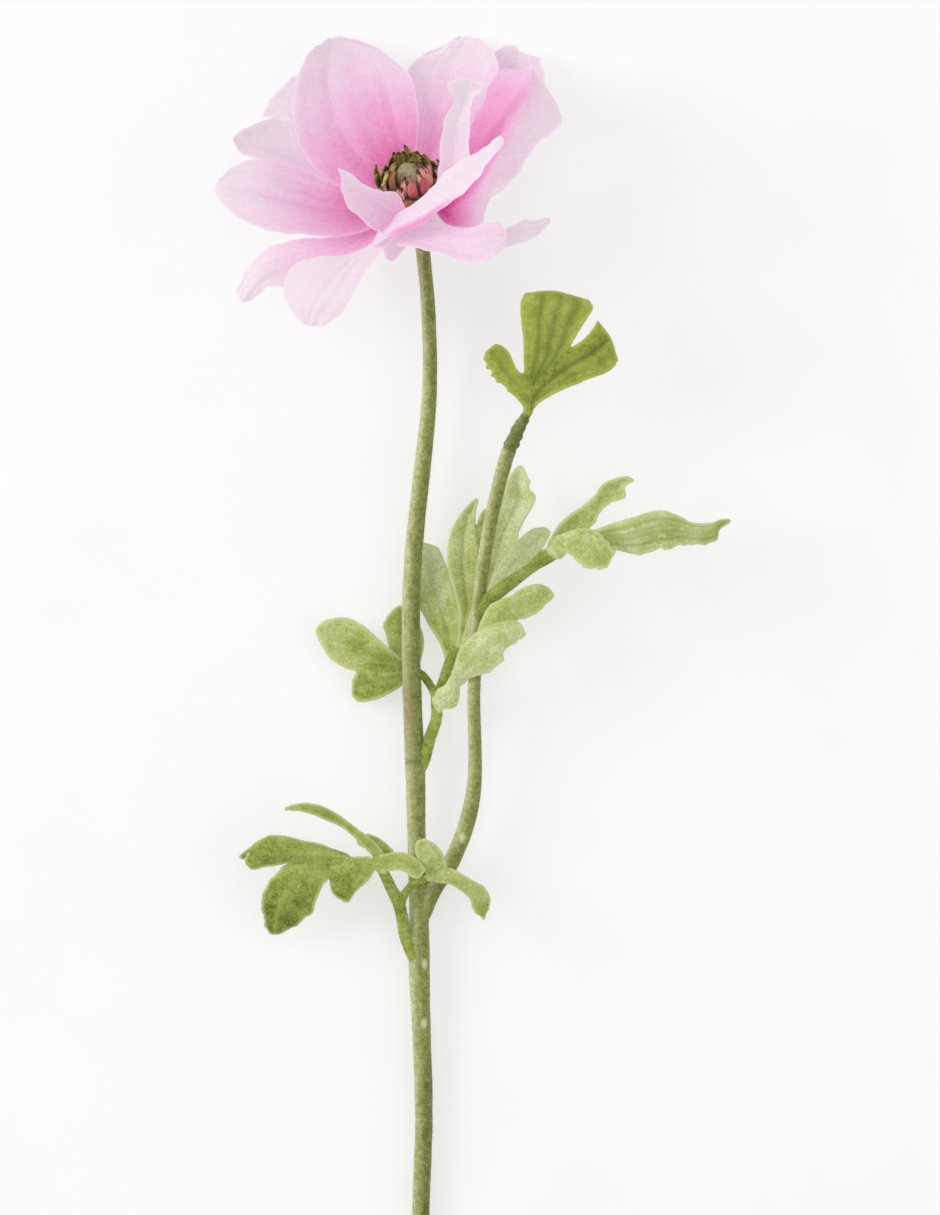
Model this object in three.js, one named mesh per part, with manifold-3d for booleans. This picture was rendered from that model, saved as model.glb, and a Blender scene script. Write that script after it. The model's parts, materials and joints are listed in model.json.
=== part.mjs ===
// Anemone flower: a cut spray lying on a surface, with one open pink bloom, a side branch and four cut leaves.
// Millimetres, +Z up. The stalk runs along +Y to the bloom, and the origin is under the middle of the spray.
import * as THREE from "three";
import { mergeVertices } from "three/addons/utils/BufferGeometryUtils.js";
import Module from "manifold-3d";

const wasm = await Module();
wasm.setup();

// ---------- driving dimensions ----------
const GAP = 0.35; // clearance between neighbouring pieces
const PETAL_THICK = 0.8;
const LEAF_THICK = 1.0;
const LOBE_ROWS = 12;
const LOBE_COLUMNS = 2;
const PETIOLE_SIDES = 8;
const STALK_SIDES = 10;
const SCALE_ROWS = 3;

const BLOOM_CENTRE = [-16.2, 133.1, 20];
const BLOOM_AXIS = new THREE.Vector3(-0.1, 0.71, 0.69).normalize();
const KNOB_RADIUS = 4.2; // receptacle that carries petals, stamens and seed head
const KNOB_TOP = 3.0; // its height above the bloom's centre, along the axis
const KNOB_UNDERSIDE = [[0, -8], [0.55, -7.4], [0.85, -5.8], [1, -4.6]]; // [share of its radius, height]
const PETAL_LAYER_STEP = 1.5; // spacing of the petals' roots along the axis, from the outermost layer in
const OUTER_LAYER = -3.4; // height of the outermost layer's roots on the knob
const ROOT_HALF_WIDTH = 2.2; // of a petal, where it grows from the knob
const PETAL_ROWS = 12;
const PETAL_COLUMNS = 6;

// Middle of the bloom, in radii from its axis and heights above its centre.
const CROWN_RADIUS = 9.2; // of the room that the stamens fill
const CROWN_TOP = 11.8;
const CROWN_FLOOR = 2.8;
const CROWN_SHOULDER = 5.2; // where that room reaches its whole radius
const SEED_HEAD = [[0, 3.4], [3.0, 3.4], [3.3, 5.0], [3.4, 7.4], [3.1, 9.2], [2.3, 10.4], [1.2, 11.0], [0, 11.2]];
// Crowns: a ring [inner radius, outer radius, foot, top] and rows of scales that stand on it, each row
// [count, radius at the root, at the widest, at the tip, height of the tip, half-width].
const ROSE_SCALES = { ring: [4.3, 5.3, 3.4, 4.4], rows: [[13, 4.8, 5.6, 4.7, 8.9, 1.0]], seed: 11, unevenness: 1.4 };
const STAMENS = {
  ring: [5.8, 7.0, 3.4, 4.6],
  rows: [
    [15, 6.6, 8.7, 7.9, 9.6, 1.25],
    [12, 6.2, 7.4, 6.5, 9.8, 1.1],
  ],
  seed: 23,
  unevenness: 2.2,
};
const SCALE_OUTLINE = [[0, 0.7], [0.45, 1], [0.8, 0.7]]; // [place from root to tip, share of the half-width]
const SCALE_TIP = 0.25; // half-width of a scale's tip
const SCALE_THICK = 0.7;

const COLOURS = {
  stalk: [0x8a965a, 0.85],
  leaf: [0x9dab68, 0.9],
  topLeaf: [0x8f9f45, 0.9],
  petal: [0xeec4df, 0.7],
  seedHead: [0x8c8c63, 0.8],
  scales: [0xb0706a, 0.8],
  stamens: [0x77702a, 0.8],
};

// ---------- routes and outlines ----------
// Stalk: x, y, z of its middle line and its radius.
const STALK_ROUTE = [
  [-13, -176.9, 2.1, 2.25],
  [-13.5, -154.6, 2.4, 2.25],
  [-13.5, -132.1, 2.9, 2.25],
  [-12.7, -106.1, 3.5, 2.3],
  [-13.5, -79.9, 4.2, 2.45],
  [-13.9, -68.7, 4.6, 2.75],
  [-14, -53.8, 5.2, 2.6],
  [-14.6, -32.8, 6, 2.4],
  [-15, -14, 6.8, 2.6],
  [-15.5, -2.7, 7.2, 2.5],
  [-16.1, 18.2, 7.6, 2.45],
  [-15.5, 39.1, 8, 2.3],
  [-13.3, 61.3, 8.6, 2.2],
  [-11.6, 76.9, 9, 2],
  [-11.1, 90, 9.3, 1.9],
  [-11.6, 105.6, 9.5, 1.85],
  [-12.9, 119.4, 9.8, 1.85],
  [-13.8, 124.6, 11.2, 2.1],
  [-14.9, 128.4, 14, 2.6],
];
const COLLAR = { centre: [-15, -13.7, 6.8], radius: 2.85, height: 1.6 };
const BRANCH_ROUTE = [
  [-12.9, -53.8, 5.4, 2],
  [-10.1, -47.2, 6.2, 2.1],
  [-6.1, -40.9, 7.2, 2.2],
  [-2.5, -32.8, 8.6, 2.1],
  [-0.1, -23.6, 10.2, 2.05],
  [0.7, -14.4, 11.8, 1.8],
  [0.4, 2.6, 15, 1.7],
  [0.9, 15.6, 17, 1.75],
  [1.7, 28.6, 18.6, 1.75],
  [3, 39, 20, 1.75],
  [4.8, 49.4, 21.2, 1.8],
  [6.9, 58.5, 22.2, 1.85],
  [9.2, 66.8, 23.2, 1.9],
  [11.6, 72.2, 23.7, 2.1],
  [14.4, 77.7, 24, 1.5],
];

// Leaves: each has the routes of its petioles, as above, and lobes. A lobe is a net: rows of points from its root to
// its tip, each from its left edge over its middle to its right edge as seen from above with the tip ahead.
const LEAF_LOWER = {
  petioles: [
    [[-15, -65.3, 5.6, 1.6], [-17.4, -59.7, 6.6, 1.6], [-18.9, -51.8, 9, 1.6], [-21.5, -46, 11, 1.5], [-23.9, -41.5, 12.5, 1.3], [-27.2, -39.4, 13.5, 0.9]],
    [[-18.8, -51.8, 9, 1.2], [-17.9, -48.6, 10.5, 1.1], [-15.8, -45.7, 11.6, 1], [-12.6, -44.2, 12.2, 0.9], [-9.3, -43.6, 12.4, 0.8]],
  ],
  lobes: [
    [ // large hanging lobe
      [[-31.4, -39.7, 13.8], [-31.9, -38.6, 14], [-32.7, -38.1, 13.8]],
      [[-36.1, -40.7, 14.3], [-38.4, -38.3, 15.3], [-40.3, -36.8, 14.3]],
      [[-37.4, -43.3, 14.4], [-41.3, -40.9, 15.6], [-44.9, -38.9, 14.4]],
      [[-39.2, -45.9, 14], [-44.4, -43.6, 15.2], [-49.1, -41, 14]],
      [[-40.5, -48.8, 13], [-46.5, -46.4, 14.2], [-52.3, -44.4, 13]],
      [[-42.4, -52.5, 11.6], [-48.4, -49.9, 12.8], [-54.9, -49.4, 11.6]],
      [[-45, -55.4, 9.8], [-50, -53.3, 11], [-54.3, -53.1, 9.8]],
      [[-47.9, -57.1, 8], [-51, -56.5, 9], [-53.8, -56.5, 8]],
      [[-50, -58.3, 7.4], [-51.6, -58.6, 7.6], [-52.9, -58.4, 7.4]],
    ],
    [ // left lobe with a point
      [[-31.4, -39.7, 14.1], [-31.4, -38.9, 14.2], [-31.9, -38.1, 14]],
      [[-35.8, -38.6, 13.9], [-35.8, -37.6, 14.6], [-35.8, -36.7, 13.6]],
      [[-40.3, -37.3, 14.1], [-40.2, -36.3, 15], [-40, -35.2, 13.8]],
      [[-44.4, -36.8, 14.1], [-44.7, -35.6, 15], [-44.4, -34.3, 13.8]],
      [[-48.6, -36.5, 14.1], [-48.8, -35, 15], [-48.6, -33.2, 13.8]],
      [[-52.3, -36.3, 13.7], [-52.8, -34.7, 14.6], [-52.3, -33, 13.4]],
      [[-55.7, -37.1, 13.1], [-56.2, -35.8, 14], [-55.4, -34.2, 12.8]],
      [[-58, -38, 12.5], [-58.4, -37, 13.2], [-58, -36.1, 12.2]],
      [[-60.1, -38.9, 12.3], [-60.5, -38.5, 12.4], [-60.6, -38.3, 12.2]],
    ],
    [ // round lobe in front of it
      [[-31.9, -40.2, 14.3], [-31.9, -39.4, 14.4], [-32.2, -38.6, 14.3]],
      [[-35.8, -40, 14.7], [-35.8, -38.9, 15.4], [-35.8, -37.6, 14.7]],
      [[-40.2, -40.2, 15.3], [-40.2, -38.4, 16.2], [-40.2, -36.8, 15.3]],
      [[-44.4, -39.6, 15.5], [-44.7, -38.1, 16.4], [-44.7, -36.5, 15.5]],
      [[-48.1, -39.8, 15.3], [-48.3, -38.1, 16.2], [-48.3, -36.3, 15.3]],
      [[-51.5, -40.3, 14.9], [-51.7, -38.3, 15.8], [-51.7, -36.1, 14.9]],
      [[-54.8, -41, 14.3], [-55.1, -38.7, 15.2], [-54.8, -36.3, 14.3]],
      [[-57.3, -41.4, 13.8], [-57.7, -39.3, 14.5], [-57.3, -36.9, 13.8]],
      [[-58.9, -40.3, 13.7], [-59, -39.3, 13.8], [-58.8, -38.2, 13.7]],
    ],
    [ // short lobe that hangs
      [[-25.2, -40.7, 13.3], [-25.7, -39.4, 13.4], [-26.5, -38.4, 13.3]],
      [[-25.9, -42.3, 13.8], [-28.3, -39.9, 14.6], [-30.9, -38.4, 13.8]],
      [[-27.2, -44.2, 14.2], [-30.9, -41.5, 15.2], [-35, -39.1, 14.2]],
      [[-29.1, -45.9, 14.1], [-32.4, -43.8, 15.1], [-36.9, -42, 14.1]],
      [[-30.6, -47.5, 13.3], [-33.5, -46.2, 14.3], [-37.1, -45.4, 13.3]],
      [[-31.8, -49.1, 12.4], [-33.8, -48.3, 13.2], [-36.2, -47.9, 12.4]],
      [[-32.3, -49.9, 12.3], [-33.1, -50.1, 12.4], [-34.3, -49.6, 12.3]],
    ],
    [ // long thin lobe
      [[-24.1, -41.3, 11.9], [-23.1, -40.8, 12], [-22, -40, 11.9]],
      [[-25.9, -38.1, 12.5], [-24.6, -37.9, 13], [-23.3, -37.4, 12.5]],
      [[-28.3, -35.5, 13], [-27, -35, 13.6], [-25.7, -34.5, 13]],
      [[-30.9, -32.9, 13.6], [-30.1, -32.1, 14.2], [-29.1, -32, 13.6]],
      [[-34, -30.5, 14.4], [-33.5, -29.5, 15], [-32.7, -29.1, 14.4]],
      [[-37.6, -28.8, 15.4], [-36.8, -27.6, 16], [-36.1, -26.9, 15.4]],
      [[-41.3, -27.2, 16.2], [-40.5, -25.9, 16.8], [-40, -25, 16.2]],
      [[-44.7, -26.2, 16.2], [-44.1, -25.4, 16.8], [-43.6, -24.5, 16.2]],
      [[-47.3, -26, 15.5], [-47.3, -25.6, 16], [-47.1, -25, 15.5]],
      [[-48.7, -26, 15.3], [-48.7, -25.7, 15.4], [-48.6, -25.4, 15.3]],
    ],
    [ // small lobe behind
      [[-23.1, -41.3, 11.3], [-22, -40.3, 11.4], [-21.3, -39.2, 11.3]],
      [[-24.9, -38.2, 10.3], [-22.8, -37.7, 10.6], [-20.7, -37.4, 10]],
      [[-27.3, -36.4, 9.4], [-24.7, -35.6, 9.8], [-22.3, -35.6, 9]],
      [[-29.4, -35.4, 8.7], [-27, -33.8, 9], [-24.7, -33.7, 8.4]],
      [[-30.2, -34.1, 8.3], [-28.6, -33, 8.4], [-27, -32.5, 8.3]],
    ],
    [ // lobe that curls to the right
      [[-25.2, -38.7, 12.9], [-25.2, -40.2, 13], [-24.9, -41.5, 12.9]],
      [[-22, -37.7, 14], [-22, -39.7, 14.6], [-22, -41.8, 14]],
      [[-18.6, -37.3, 15], [-18.6, -39.4, 15.8], [-18.9, -41.6, 15]],
      [[-15.8, -38.2, 15.8], [-16.3, -40.4, 16.6], [-16.8, -42.5, 15.8]],
      [[-13.7, -40, 15.8], [-14.4, -41.4, 16.4], [-15.5, -43.4, 15.8]],
      [[-12.4, -41.7, 15.5], [-13.2, -42.8, 15.6], [-14.2, -43.8, 15.5]],
    ],
    [ // right leaflet's upper lobe
      [[-10.8, -44.7, 12.3], [-9.3, -44.4, 12.4], [-7.4, -43.9, 12.3]],
      [[-12.1, -42.3, 13], [-9.5, -42, 13.6], [-6.9, -41.5, 13]],
      [[-13.4, -40.2, 14.1], [-10.3, -39.7, 14.8], [-7.4, -39.2, 14.1]],
      [[-14.5, -37.8, 14.9], [-11.3, -37, 15.6], [-8.2, -37, 14.9]],
      [[-14.8, -35.7, 15.4], [-12.6, -34.9, 16], [-10, -34.9, 15.4]],
      [[-14.5, -34.3, 15.9], [-13.5, -33.9, 16], [-12.4, -33.6, 15.9]],
    ],
    [ // right leaflet's lower lobe
      [[-10.6, -42.3, 12.3], [-10.3, -43.6, 12.4], [-10, -44.9, 12.3]],
      [[-6.6, -41.3, 13.3], [-6.6, -43.1, 14], [-6.6, -45.2, 13.4]],
      [[-3, -42.9, 14.1], [-3.5, -44.6, 15], [-4, -46.2, 14.3]],
      [[0.4, -45, 14.7], [-0.7, -46.4, 15.6], [-2, -47.7, 14.9]],
      [[3, -46.6, 14.7], [1.4, -48, 15.6], [-0.5, -49.2, 14.9]],
      [[4.3, -48.8, 14.1], [2.5, -49.8, 15], [0.1, -51.1, 14.3]],
      [[4, -51.2, 13.3], [2.7, -51.7, 14.2], [0.7, -52.6, 13.5]],
      [[3.3, -53.3, 12.7], [2.7, -53.5, 13.4], [2, -53.5, 12.8]],
      [[3, -54.6, 12.9], [2.7, -54.6, 13], [2.5, -54.4, 12.9]],
    ],
  ],
};

const LEAF_UPPER = {
  petioles: [
    [[-12.7, -13.7, 7.4, 1.5], [-11.1, -7.4, 8.8, 1.6], [-9.4, -2.2, 9.6, 1.5], [-9.5, 3.3, 9, 1.4]],
    [[-9.5, 3.3, 9, 1.3], [-10.6, 5.6, 5.6, 1.1], [-13.5, 9.2, 2.9, 1.1], [-19, 11.3, 2.8, 0.9]],
    [[-9.7, 2, 9, 1.3], [-7.4, 7.7, 8.4, 1.5], [-5.9, 11.9, 8, 1.6], [-4, 16.1, 7.6, 1.6]],
  ],
  lobes: [
    [ // left leaflet's large lobe
      [[-17.9, 9.8, 3], [-17.7, 10.8, 2.9], [-17.9, 12.1, 3]],
      [[-20.5, 9.5, 4], [-20, 11.9, 3.4], [-19.7, 14.2, 4.1]],
      [[-24.2, 9.5, 4.7], [-23.4, 12.7, 4], [-21.8, 15.7, 4.9]],
      [[-28.1, 10, 5.3], [-26.8, 14.5, 4.6], [-24.7, 18.2, 5.5]],
      [[-32, 10.7, 5.8], [-30.2, 16.1, 5.1], [-27.8, 21, 6]],
      [[-35.2, 12, 6], [-33.1, 17.9, 5.3], [-31.2, 23.3, 6.2]],
      [[-37.8, 14.2, 5.9], [-36, 18.9, 5.2], [-34.4, 23.9, 6.1]],
      [[-39, 16.6, 5.7], [-37.8, 19.7, 5], [-36.7, 23.5, 5.9]],
      [[-40.3, 18.7, 5.3], [-39.6, 20.5, 4.7], [-39.1, 22.7, 5.4]],
      [[-40.9, 20.2, 4.5], [-40.7, 21, 4.4], [-40.3, 21.8, 4.5]],
    ],
    [ // left leaflet's lower lobe
      [[-16.9, 7.7, 3], [-16.9, 9, 2.9], [-17.1, 10.6, 3]],
      [[-19, 6, 3.9], [-19, 8.5, 3.6], [-19.2, 11.1, 4]],
      [[-21.6, 4.4, 4.6], [-21.8, 7.9, 4.2], [-22.4, 11.3, 4.7]],
      [[-24.4, 3, 5.1], [-25, 7.2, 4.7], [-25.8, 11.4, 5.2]],
      [[-27.3, 2.3, 5.2], [-27.8, 6.6, 4.8], [-28.6, 11.1, 5.3]],
      [[-29.9, 2.2, 4.9], [-30.2, 6.1, 4.6], [-30.5, 9.3, 5]],
      [[-31.3, 3.5, 4.4], [-31.4, 5.3, 4.3], [-31.3, 7.2, 4.4]],
    ],
    [ // left leaflet's lobe behind the stalk
      [[-18.2, 9.2, 2.9], [-16.6, 9.5, 2.9], [-15.3, 10, 2.9]],
      [[-20.3, 12.6, 3], [-17.4, 12.9, 2.8], [-14, 12.4, 3]],
      [[-21.6, 16.3, 2.9], [-17.7, 16.3, 2.7], [-13, 16.1, 2.9]],
      [[-22.6, 20, 2.8], [-18.2, 20, 2.6], [-13.2, 19.7, 2.8]],
      [[-23.2, 22.3, 2.7], [-18.7, 22.9, 2.5], [-14.5, 22.9, 2.7]],
      [[-21.3, 25.5, 2.7], [-18.7, 26, 2.5], [-16.1, 25.5, 2.7]],
      [[-19.8, 26.8, 2.4], [-18.7, 27, 2.4], [-17.7, 26.7, 2.4]],
    ],
    [ // middle leaflet's left lobe
      [[-6.9, 12.9, 7.3], [-5.6, 13.5, 7.2], [-4.3, 14.2, 7.3]],
      [[-8.2, 16.9, 6.9], [-5.9, 17.6, 6.6], [-3.3, 19.2, 7.3]],
      [[-10.8, 21.3, 6.2], [-6.9, 22.3, 5.8], [-3, 23.9, 6.7]],
      [[-12.9, 25.5, 5.3], [-8.5, 27.6, 4.9], [-3.8, 28.1, 5.8]],
      [[-15.3, 29.9, 4.5], [-10.1, 31.8, 4.1], [-4.8, 31.2, 5]],
      [[-16.3, 35.2, 3.9], [-11.1, 36.5, 3.5], [-6.3, 35.7, 4.4]],
      [[-16.1, 40.1, 3.2], [-11.9, 40.4, 2.9], [-7.7, 39.3, 3.6]],
      [[-14.8, 43.3, 2.6], [-11.9, 43.3, 2.5], [-9, 42.2, 2.6]],
    ],
    [ // middle leaflet's second lobe
      [[-3.8, 15, 7.9], [-3, 15.5, 7.8], [-2, 16.6, 7.9]],
      [[-3.5, 20.8, 8.4], [-2.2, 21.3, 7.6], [-0.7, 22.3, 8.2]],
      [[-3.3, 26, 8.3], [-1.4, 26.5, 7.3], [0.7, 27.3, 8]],
      [[-4.6, 30.7, 8], [-1.7, 31.2, 7], [1.4, 31.7, 7.7]],
      [[-6.1, 35.9, 7.6], [-2.5, 36.5, 6.6], [1.4, 37, 7.3]],
      [[-6.3, 41.7, 7.2], [-2.5, 41.7, 6.2], [1.2, 42.2, 6.9]],
      [[-5.1, 47.2, 6.8], [-2.2, 46.6, 5.8], [0.7, 46.1, 6.5]],
      [[-3, 51.1, 6.4], [-1.2, 50.6, 5.4], [0.5, 49.8, 6.1]],
      [[-0.7, 53.7, 5.9], [0.1, 53.2, 5.1], [0.8, 52.4, 5.7]],
      [[0.7, 54.9, 5.1], [1, 54.9, 5], [1.4, 54.5, 5.1]],
    ],
    [ // middle leaflet's lobe behind the branch
      [[-0.7, 28.6, 6.6], [0.9, 29.1, 6.6], [2.5, 29.7, 6.6]],
      [[-0.1, 36.5, 6.4], [1.7, 37, 6.2], [3.8, 37.5, 6.4]],
      [[0.7, 43.5, 6.1], [2.5, 43.8, 5.9], [4.3, 44.3, 6.1]],
      [[1.4, 48, 5.8], [2.7, 48, 5.6], [4.3, 48.5, 5.8]],
      [[2.2, 51, 5.6], [3.1, 51.1, 5.4], [4.1, 51.1, 5.6]],
      [[2.7, 52, 5.3], [3.3, 52.3, 5.3], [3.9, 52.1, 5.3]],
    ],
    [ // middle leaflet's longest lobe
      [[-2.7, 16.6, 8], [-1.7, 17.1, 7.9], [-0.7, 17.6, 8]],
      [[-0.7, 23.9, 9.2], [0.9, 24.2, 8.6], [2.7, 24.4, 9.2]],
      [[0.9, 30.7, 10], [3.5, 31.2, 9.2], [6.1, 31.2, 9.9]],
      [[2.5, 37.5, 10.4], [5.9, 38.5, 9.6], [9.3, 37.7, 10.3]],
      [[4.3, 44.3, 10.6], [7.4, 44.3, 9.8], [10.6, 42.7, 10.5]],
      [[6.4, 50.3, 10.4], [9.8, 49.8, 9.6], [13.2, 49, 10.3]],
      [[8, 55.2, 10.1], [11.9, 54.7, 9.3], [16.2, 54.7, 10]],
      [[9, 58.9, 9.8], [11.9, 58.1, 9], [14.8, 57.6, 9.7]],
      [[10.3, 61.5, 9.2], [12, 61.3, 8.6], [14.1, 61, 9.2]],
      [[11.6, 63.3, 8.3], [12.4, 63.6, 8.2], [13.2, 63.2, 8.3]],
    ],
    [ // middle leaflet's right lobe
      [[-1.7, 17.6, 8.1], [-0.7, 18.2, 8], [0.4, 18.2, 8.1]],
      [[1.4, 25.5, 9.8], [3, 25.5, 9.2], [4.6, 25, 9.8]],
      [[4.6, 32.3, 11], [6.4, 31.2, 10.2], [8, 30.7, 11]],
      [[7.4, 38, 11.8], [9.3, 35.9, 11], [10.8, 34.3, 11.8]],
      [[10.3, 42, 12.5], [12.1, 39.6, 11.7], [14, 37.5, 12.5]],
      [[13.2, 45.2, 12.9], [15.3, 42.9, 12.1], [17.1, 40.9, 12.9]],
      [[16, 47.1, 12.8], [17.6, 45.3, 12.2], [19, 43.6, 12.8]],
      [[18.6, 47.5, 12.1], [19.6, 47, 12], [20.2, 46.1, 12.1]],
    ],
    [ // front leaflet's long lobe
      [[-10, 2.3, 10.8], [-9.5, 1.5, 11], [-8.5, 0.3, 10.8]],
      [[-9, 5.1, 12.4], [-6.9, 3.3, 13.5], [-4.6, 1, 12.2]],
      [[-7.2, 6.3, 14], [-5.3, 5.2, 15.4], [-3.5, 4.9, 13.8]],
      [[-5.6, 8.6, 15.8], [-4.3, 7.8, 17.2], [-3, 6.7, 15.6]],
      [[-4.3, 12, 18.6], [-2.2, 10.1, 20], [-0.4, 8.6, 18.4]],
      [[-3.2, 15.1, 21.2], [-0.1, 12.5, 22.6], [3, 9.8, 21]],
      [[-1.4, 17.8, 23.6], [2.2, 15.1, 25], [5.8, 11.2, 23.4]],
      [[1.4, 20.2, 25.2], [4.5, 17.4, 26.6], [7.7, 13, 25]],
      [[5.1, 21.6, 25.8], [6.6, 19, 27.2], [8.2, 15.6, 25.6]],
      [[8.4, 22.5, 25.8], [9.5, 20.3, 27.2], [10.8, 18, 25.6]],
      [[11.3, 22.9, 25.5], [12.3, 21.3, 26.6], [12.7, 18.7, 25.3]],
      [[12.6, 22, 25.8], [13.4, 20.6, 26], [13.7, 19.8, 25.8]],
    ],
    [ // front leaflet's upper lobe
      [[1.4, 20.3, 23.9], [3.5, 19.3, 24], [5.6, 18.2, 23.9]],
      [[2.7, 23.7, 24.6], [5.8, 22.9, 25.4], [10.3, 21.3, 24.6]],
      [[4.5, 27, 25.4], [7.9, 25.7, 26.4], [11.3, 23.4, 25.4]],
      [[7.4, 28.6, 26], [10, 26.8, 27], [12.3, 23.7, 26]],
      [[10, 29.6, 26.3], [12.1, 27.6, 27.3], [14.4, 24.2, 26.3]],
      [[12.6, 31.2, 26.3], [14.4, 28.6, 27.3], [16.7, 25.4, 26.3]],
      [[15.2, 32.2, 26], [16.7, 29.9, 27], [18.5, 27.3, 26]],
      [[17.8, 32.4, 25.6], [18.8, 30.9, 26.4], [20.2, 28.6, 25.6]],
      [[19.8, 31.7, 25.5], [20.5, 30.8, 25.6], [21.1, 29.6, 25.5]],
    ],
  ],
};

const LEAF_SIDE = {
  petioles: [
    [[2.2, 26.3, 18.8, 1.7], [5.3, 29.6, 20.2, 1.9], [9.7, 33, 21, 1.8], [15.2, 36.9, 22, 1.45], [19.3, 40, 23, 2.1], [23.5, 41.8, 23.6, 1.4]],
  ],
  lobes: [
    [ // upper lobe
      [[19.1, 41.1, 23.5], [20.4, 41.1, 23.4], [21.7, 41.3, 23.5]],
      [[20.6, 45, 24.1], [23.2, 45, 23.6], [26.1, 44.7, 24.1]],
      [[22.7, 48.3, 24], [25.8, 47.8, 23.4], [28.9, 46.5, 24]],
      [[25.6, 50.8, 23.6], [28.4, 49.9, 23], [31.5, 48.7, 23.6]],
      [[28.7, 53, 23.4], [30.8, 52, 22.8], [33.2, 51.6, 23.4]],
      [[31.3, 55.1, 23.4], [33.4, 54.3, 22.8], [35.7, 53.8, 23.4]],
      [[33.1, 57.4, 23.6], [35.7, 56.4, 23], [38.2, 54.8, 23.6]],
      [[34.7, 59, 24], [37, 57.9, 23.4], [39.6, 55.7, 24]],
      [[36.7, 59.9, 24.4], [37.9, 58.8, 23.8], [39.2, 57.7, 24.4]],
      [[39.1, 60.4, 24.6], [39.6, 59.7, 24.1], [40.1, 58.8, 24.6]],
      [[41.1, 60.3, 24.4], [41.4, 60, 24.3], [41.7, 59.6, 24.4]],
    ],
    [ // long lobe
      [[22.7, 43.9, 23.6], [23, 42.6, 23.8], [23.2, 41.3, 23.6]],
      [[27.4, 45.7, 24], [27.9, 43.9, 25], [28.4, 41.8, 23.8]],
      [[31.8, 46.6, 24.5], [32.6, 44.2, 25.8], [33.1, 41.8, 24.3]],
      [[35.7, 48.1, 25.1], [36.4, 44.7, 26.4], [37.2, 41.6, 24.9]],
      [[39.3, 49.1, 25.5], [40.3, 44.9, 26.8], [41.1, 40.9, 25.3]],
      [[42.9, 50.3, 25.5], [44, 45.7, 26.8], [45, 40.9, 25.3]],
      [[46.3, 51.4, 25.3], [47.3, 46.7, 26.6], [48.4, 42.2, 25.1]],
      [[49.7, 51.6, 24.9], [50.4, 47, 26.2], [51, 42.1, 24.7]],
      [[53.1, 50.3, 24.3], [53.8, 47, 25.6], [54.6, 43.3, 24.1]],
      [[56.5, 48.6, 23.7], [57.2, 46.2, 25], [58, 43.1, 23.5]],
      [[59.9, 48.3, 23.1], [60.6, 46.2, 24.4], [61.4, 43.7, 22.9]],
      [[62.5, 48.5, 22.5], [62.8, 47, 23.8], [63.4, 44.3, 22.3]],
      [[64.6, 49.4, 22.4], [64.4, 48.5, 23.4], [64, 46.8, 22.2]],
      [[66.7, 49.5, 22.8], [66.9, 49.1, 23], [66.6, 48.5, 22.8]],
    ],
    [ // lobe that hangs to the front
      [[21.7, 44.9, 24.7], [21.1, 43.9, 24.8], [20.6, 42.9, 24.7]],
      [[24.8, 46, 26.7], [24, 43.9, 27.4], [23.2, 41.6, 26.5]],
      [[28.4, 46.9, 28.5], [27.1, 43.6, 29.4], [25.5, 40.3, 28.3]],
      [[31.5, 46.5, 29.9], [29.9, 42.8, 30.8], [27.8, 38.3, 29.7]],
      [[33.8, 44.5, 30.5], [32.2, 41, 31.4], [29.9, 37.1, 30.3]],
      [[35.7, 41.8, 30.5], [34.3, 39.5, 31.2], [32.5, 37, 30.3]],
      [[36.5, 40.8, 30.5], [35.6, 38.9, 30.6], [34.8, 37.1, 30.5]],
    ],
    [ // small lobe at the base
      [[21.7, 44.2, 24.3], [20.6, 43.9, 24.4], [19.6, 43.4, 24.3]],
      [[23.2, 42.3, 25.3], [21.8, 41.8, 25.6], [20.4, 41.6, 25.3]],
      [[24, 40.8, 25.7], [22.7, 40.3, 26], [21.4, 40, 25.7]],
      [[23.2, 39.8, 25.3], [22.7, 39.5, 25.4], [21.9, 39.6, 25.3]],
    ],
  ],
};

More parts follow.
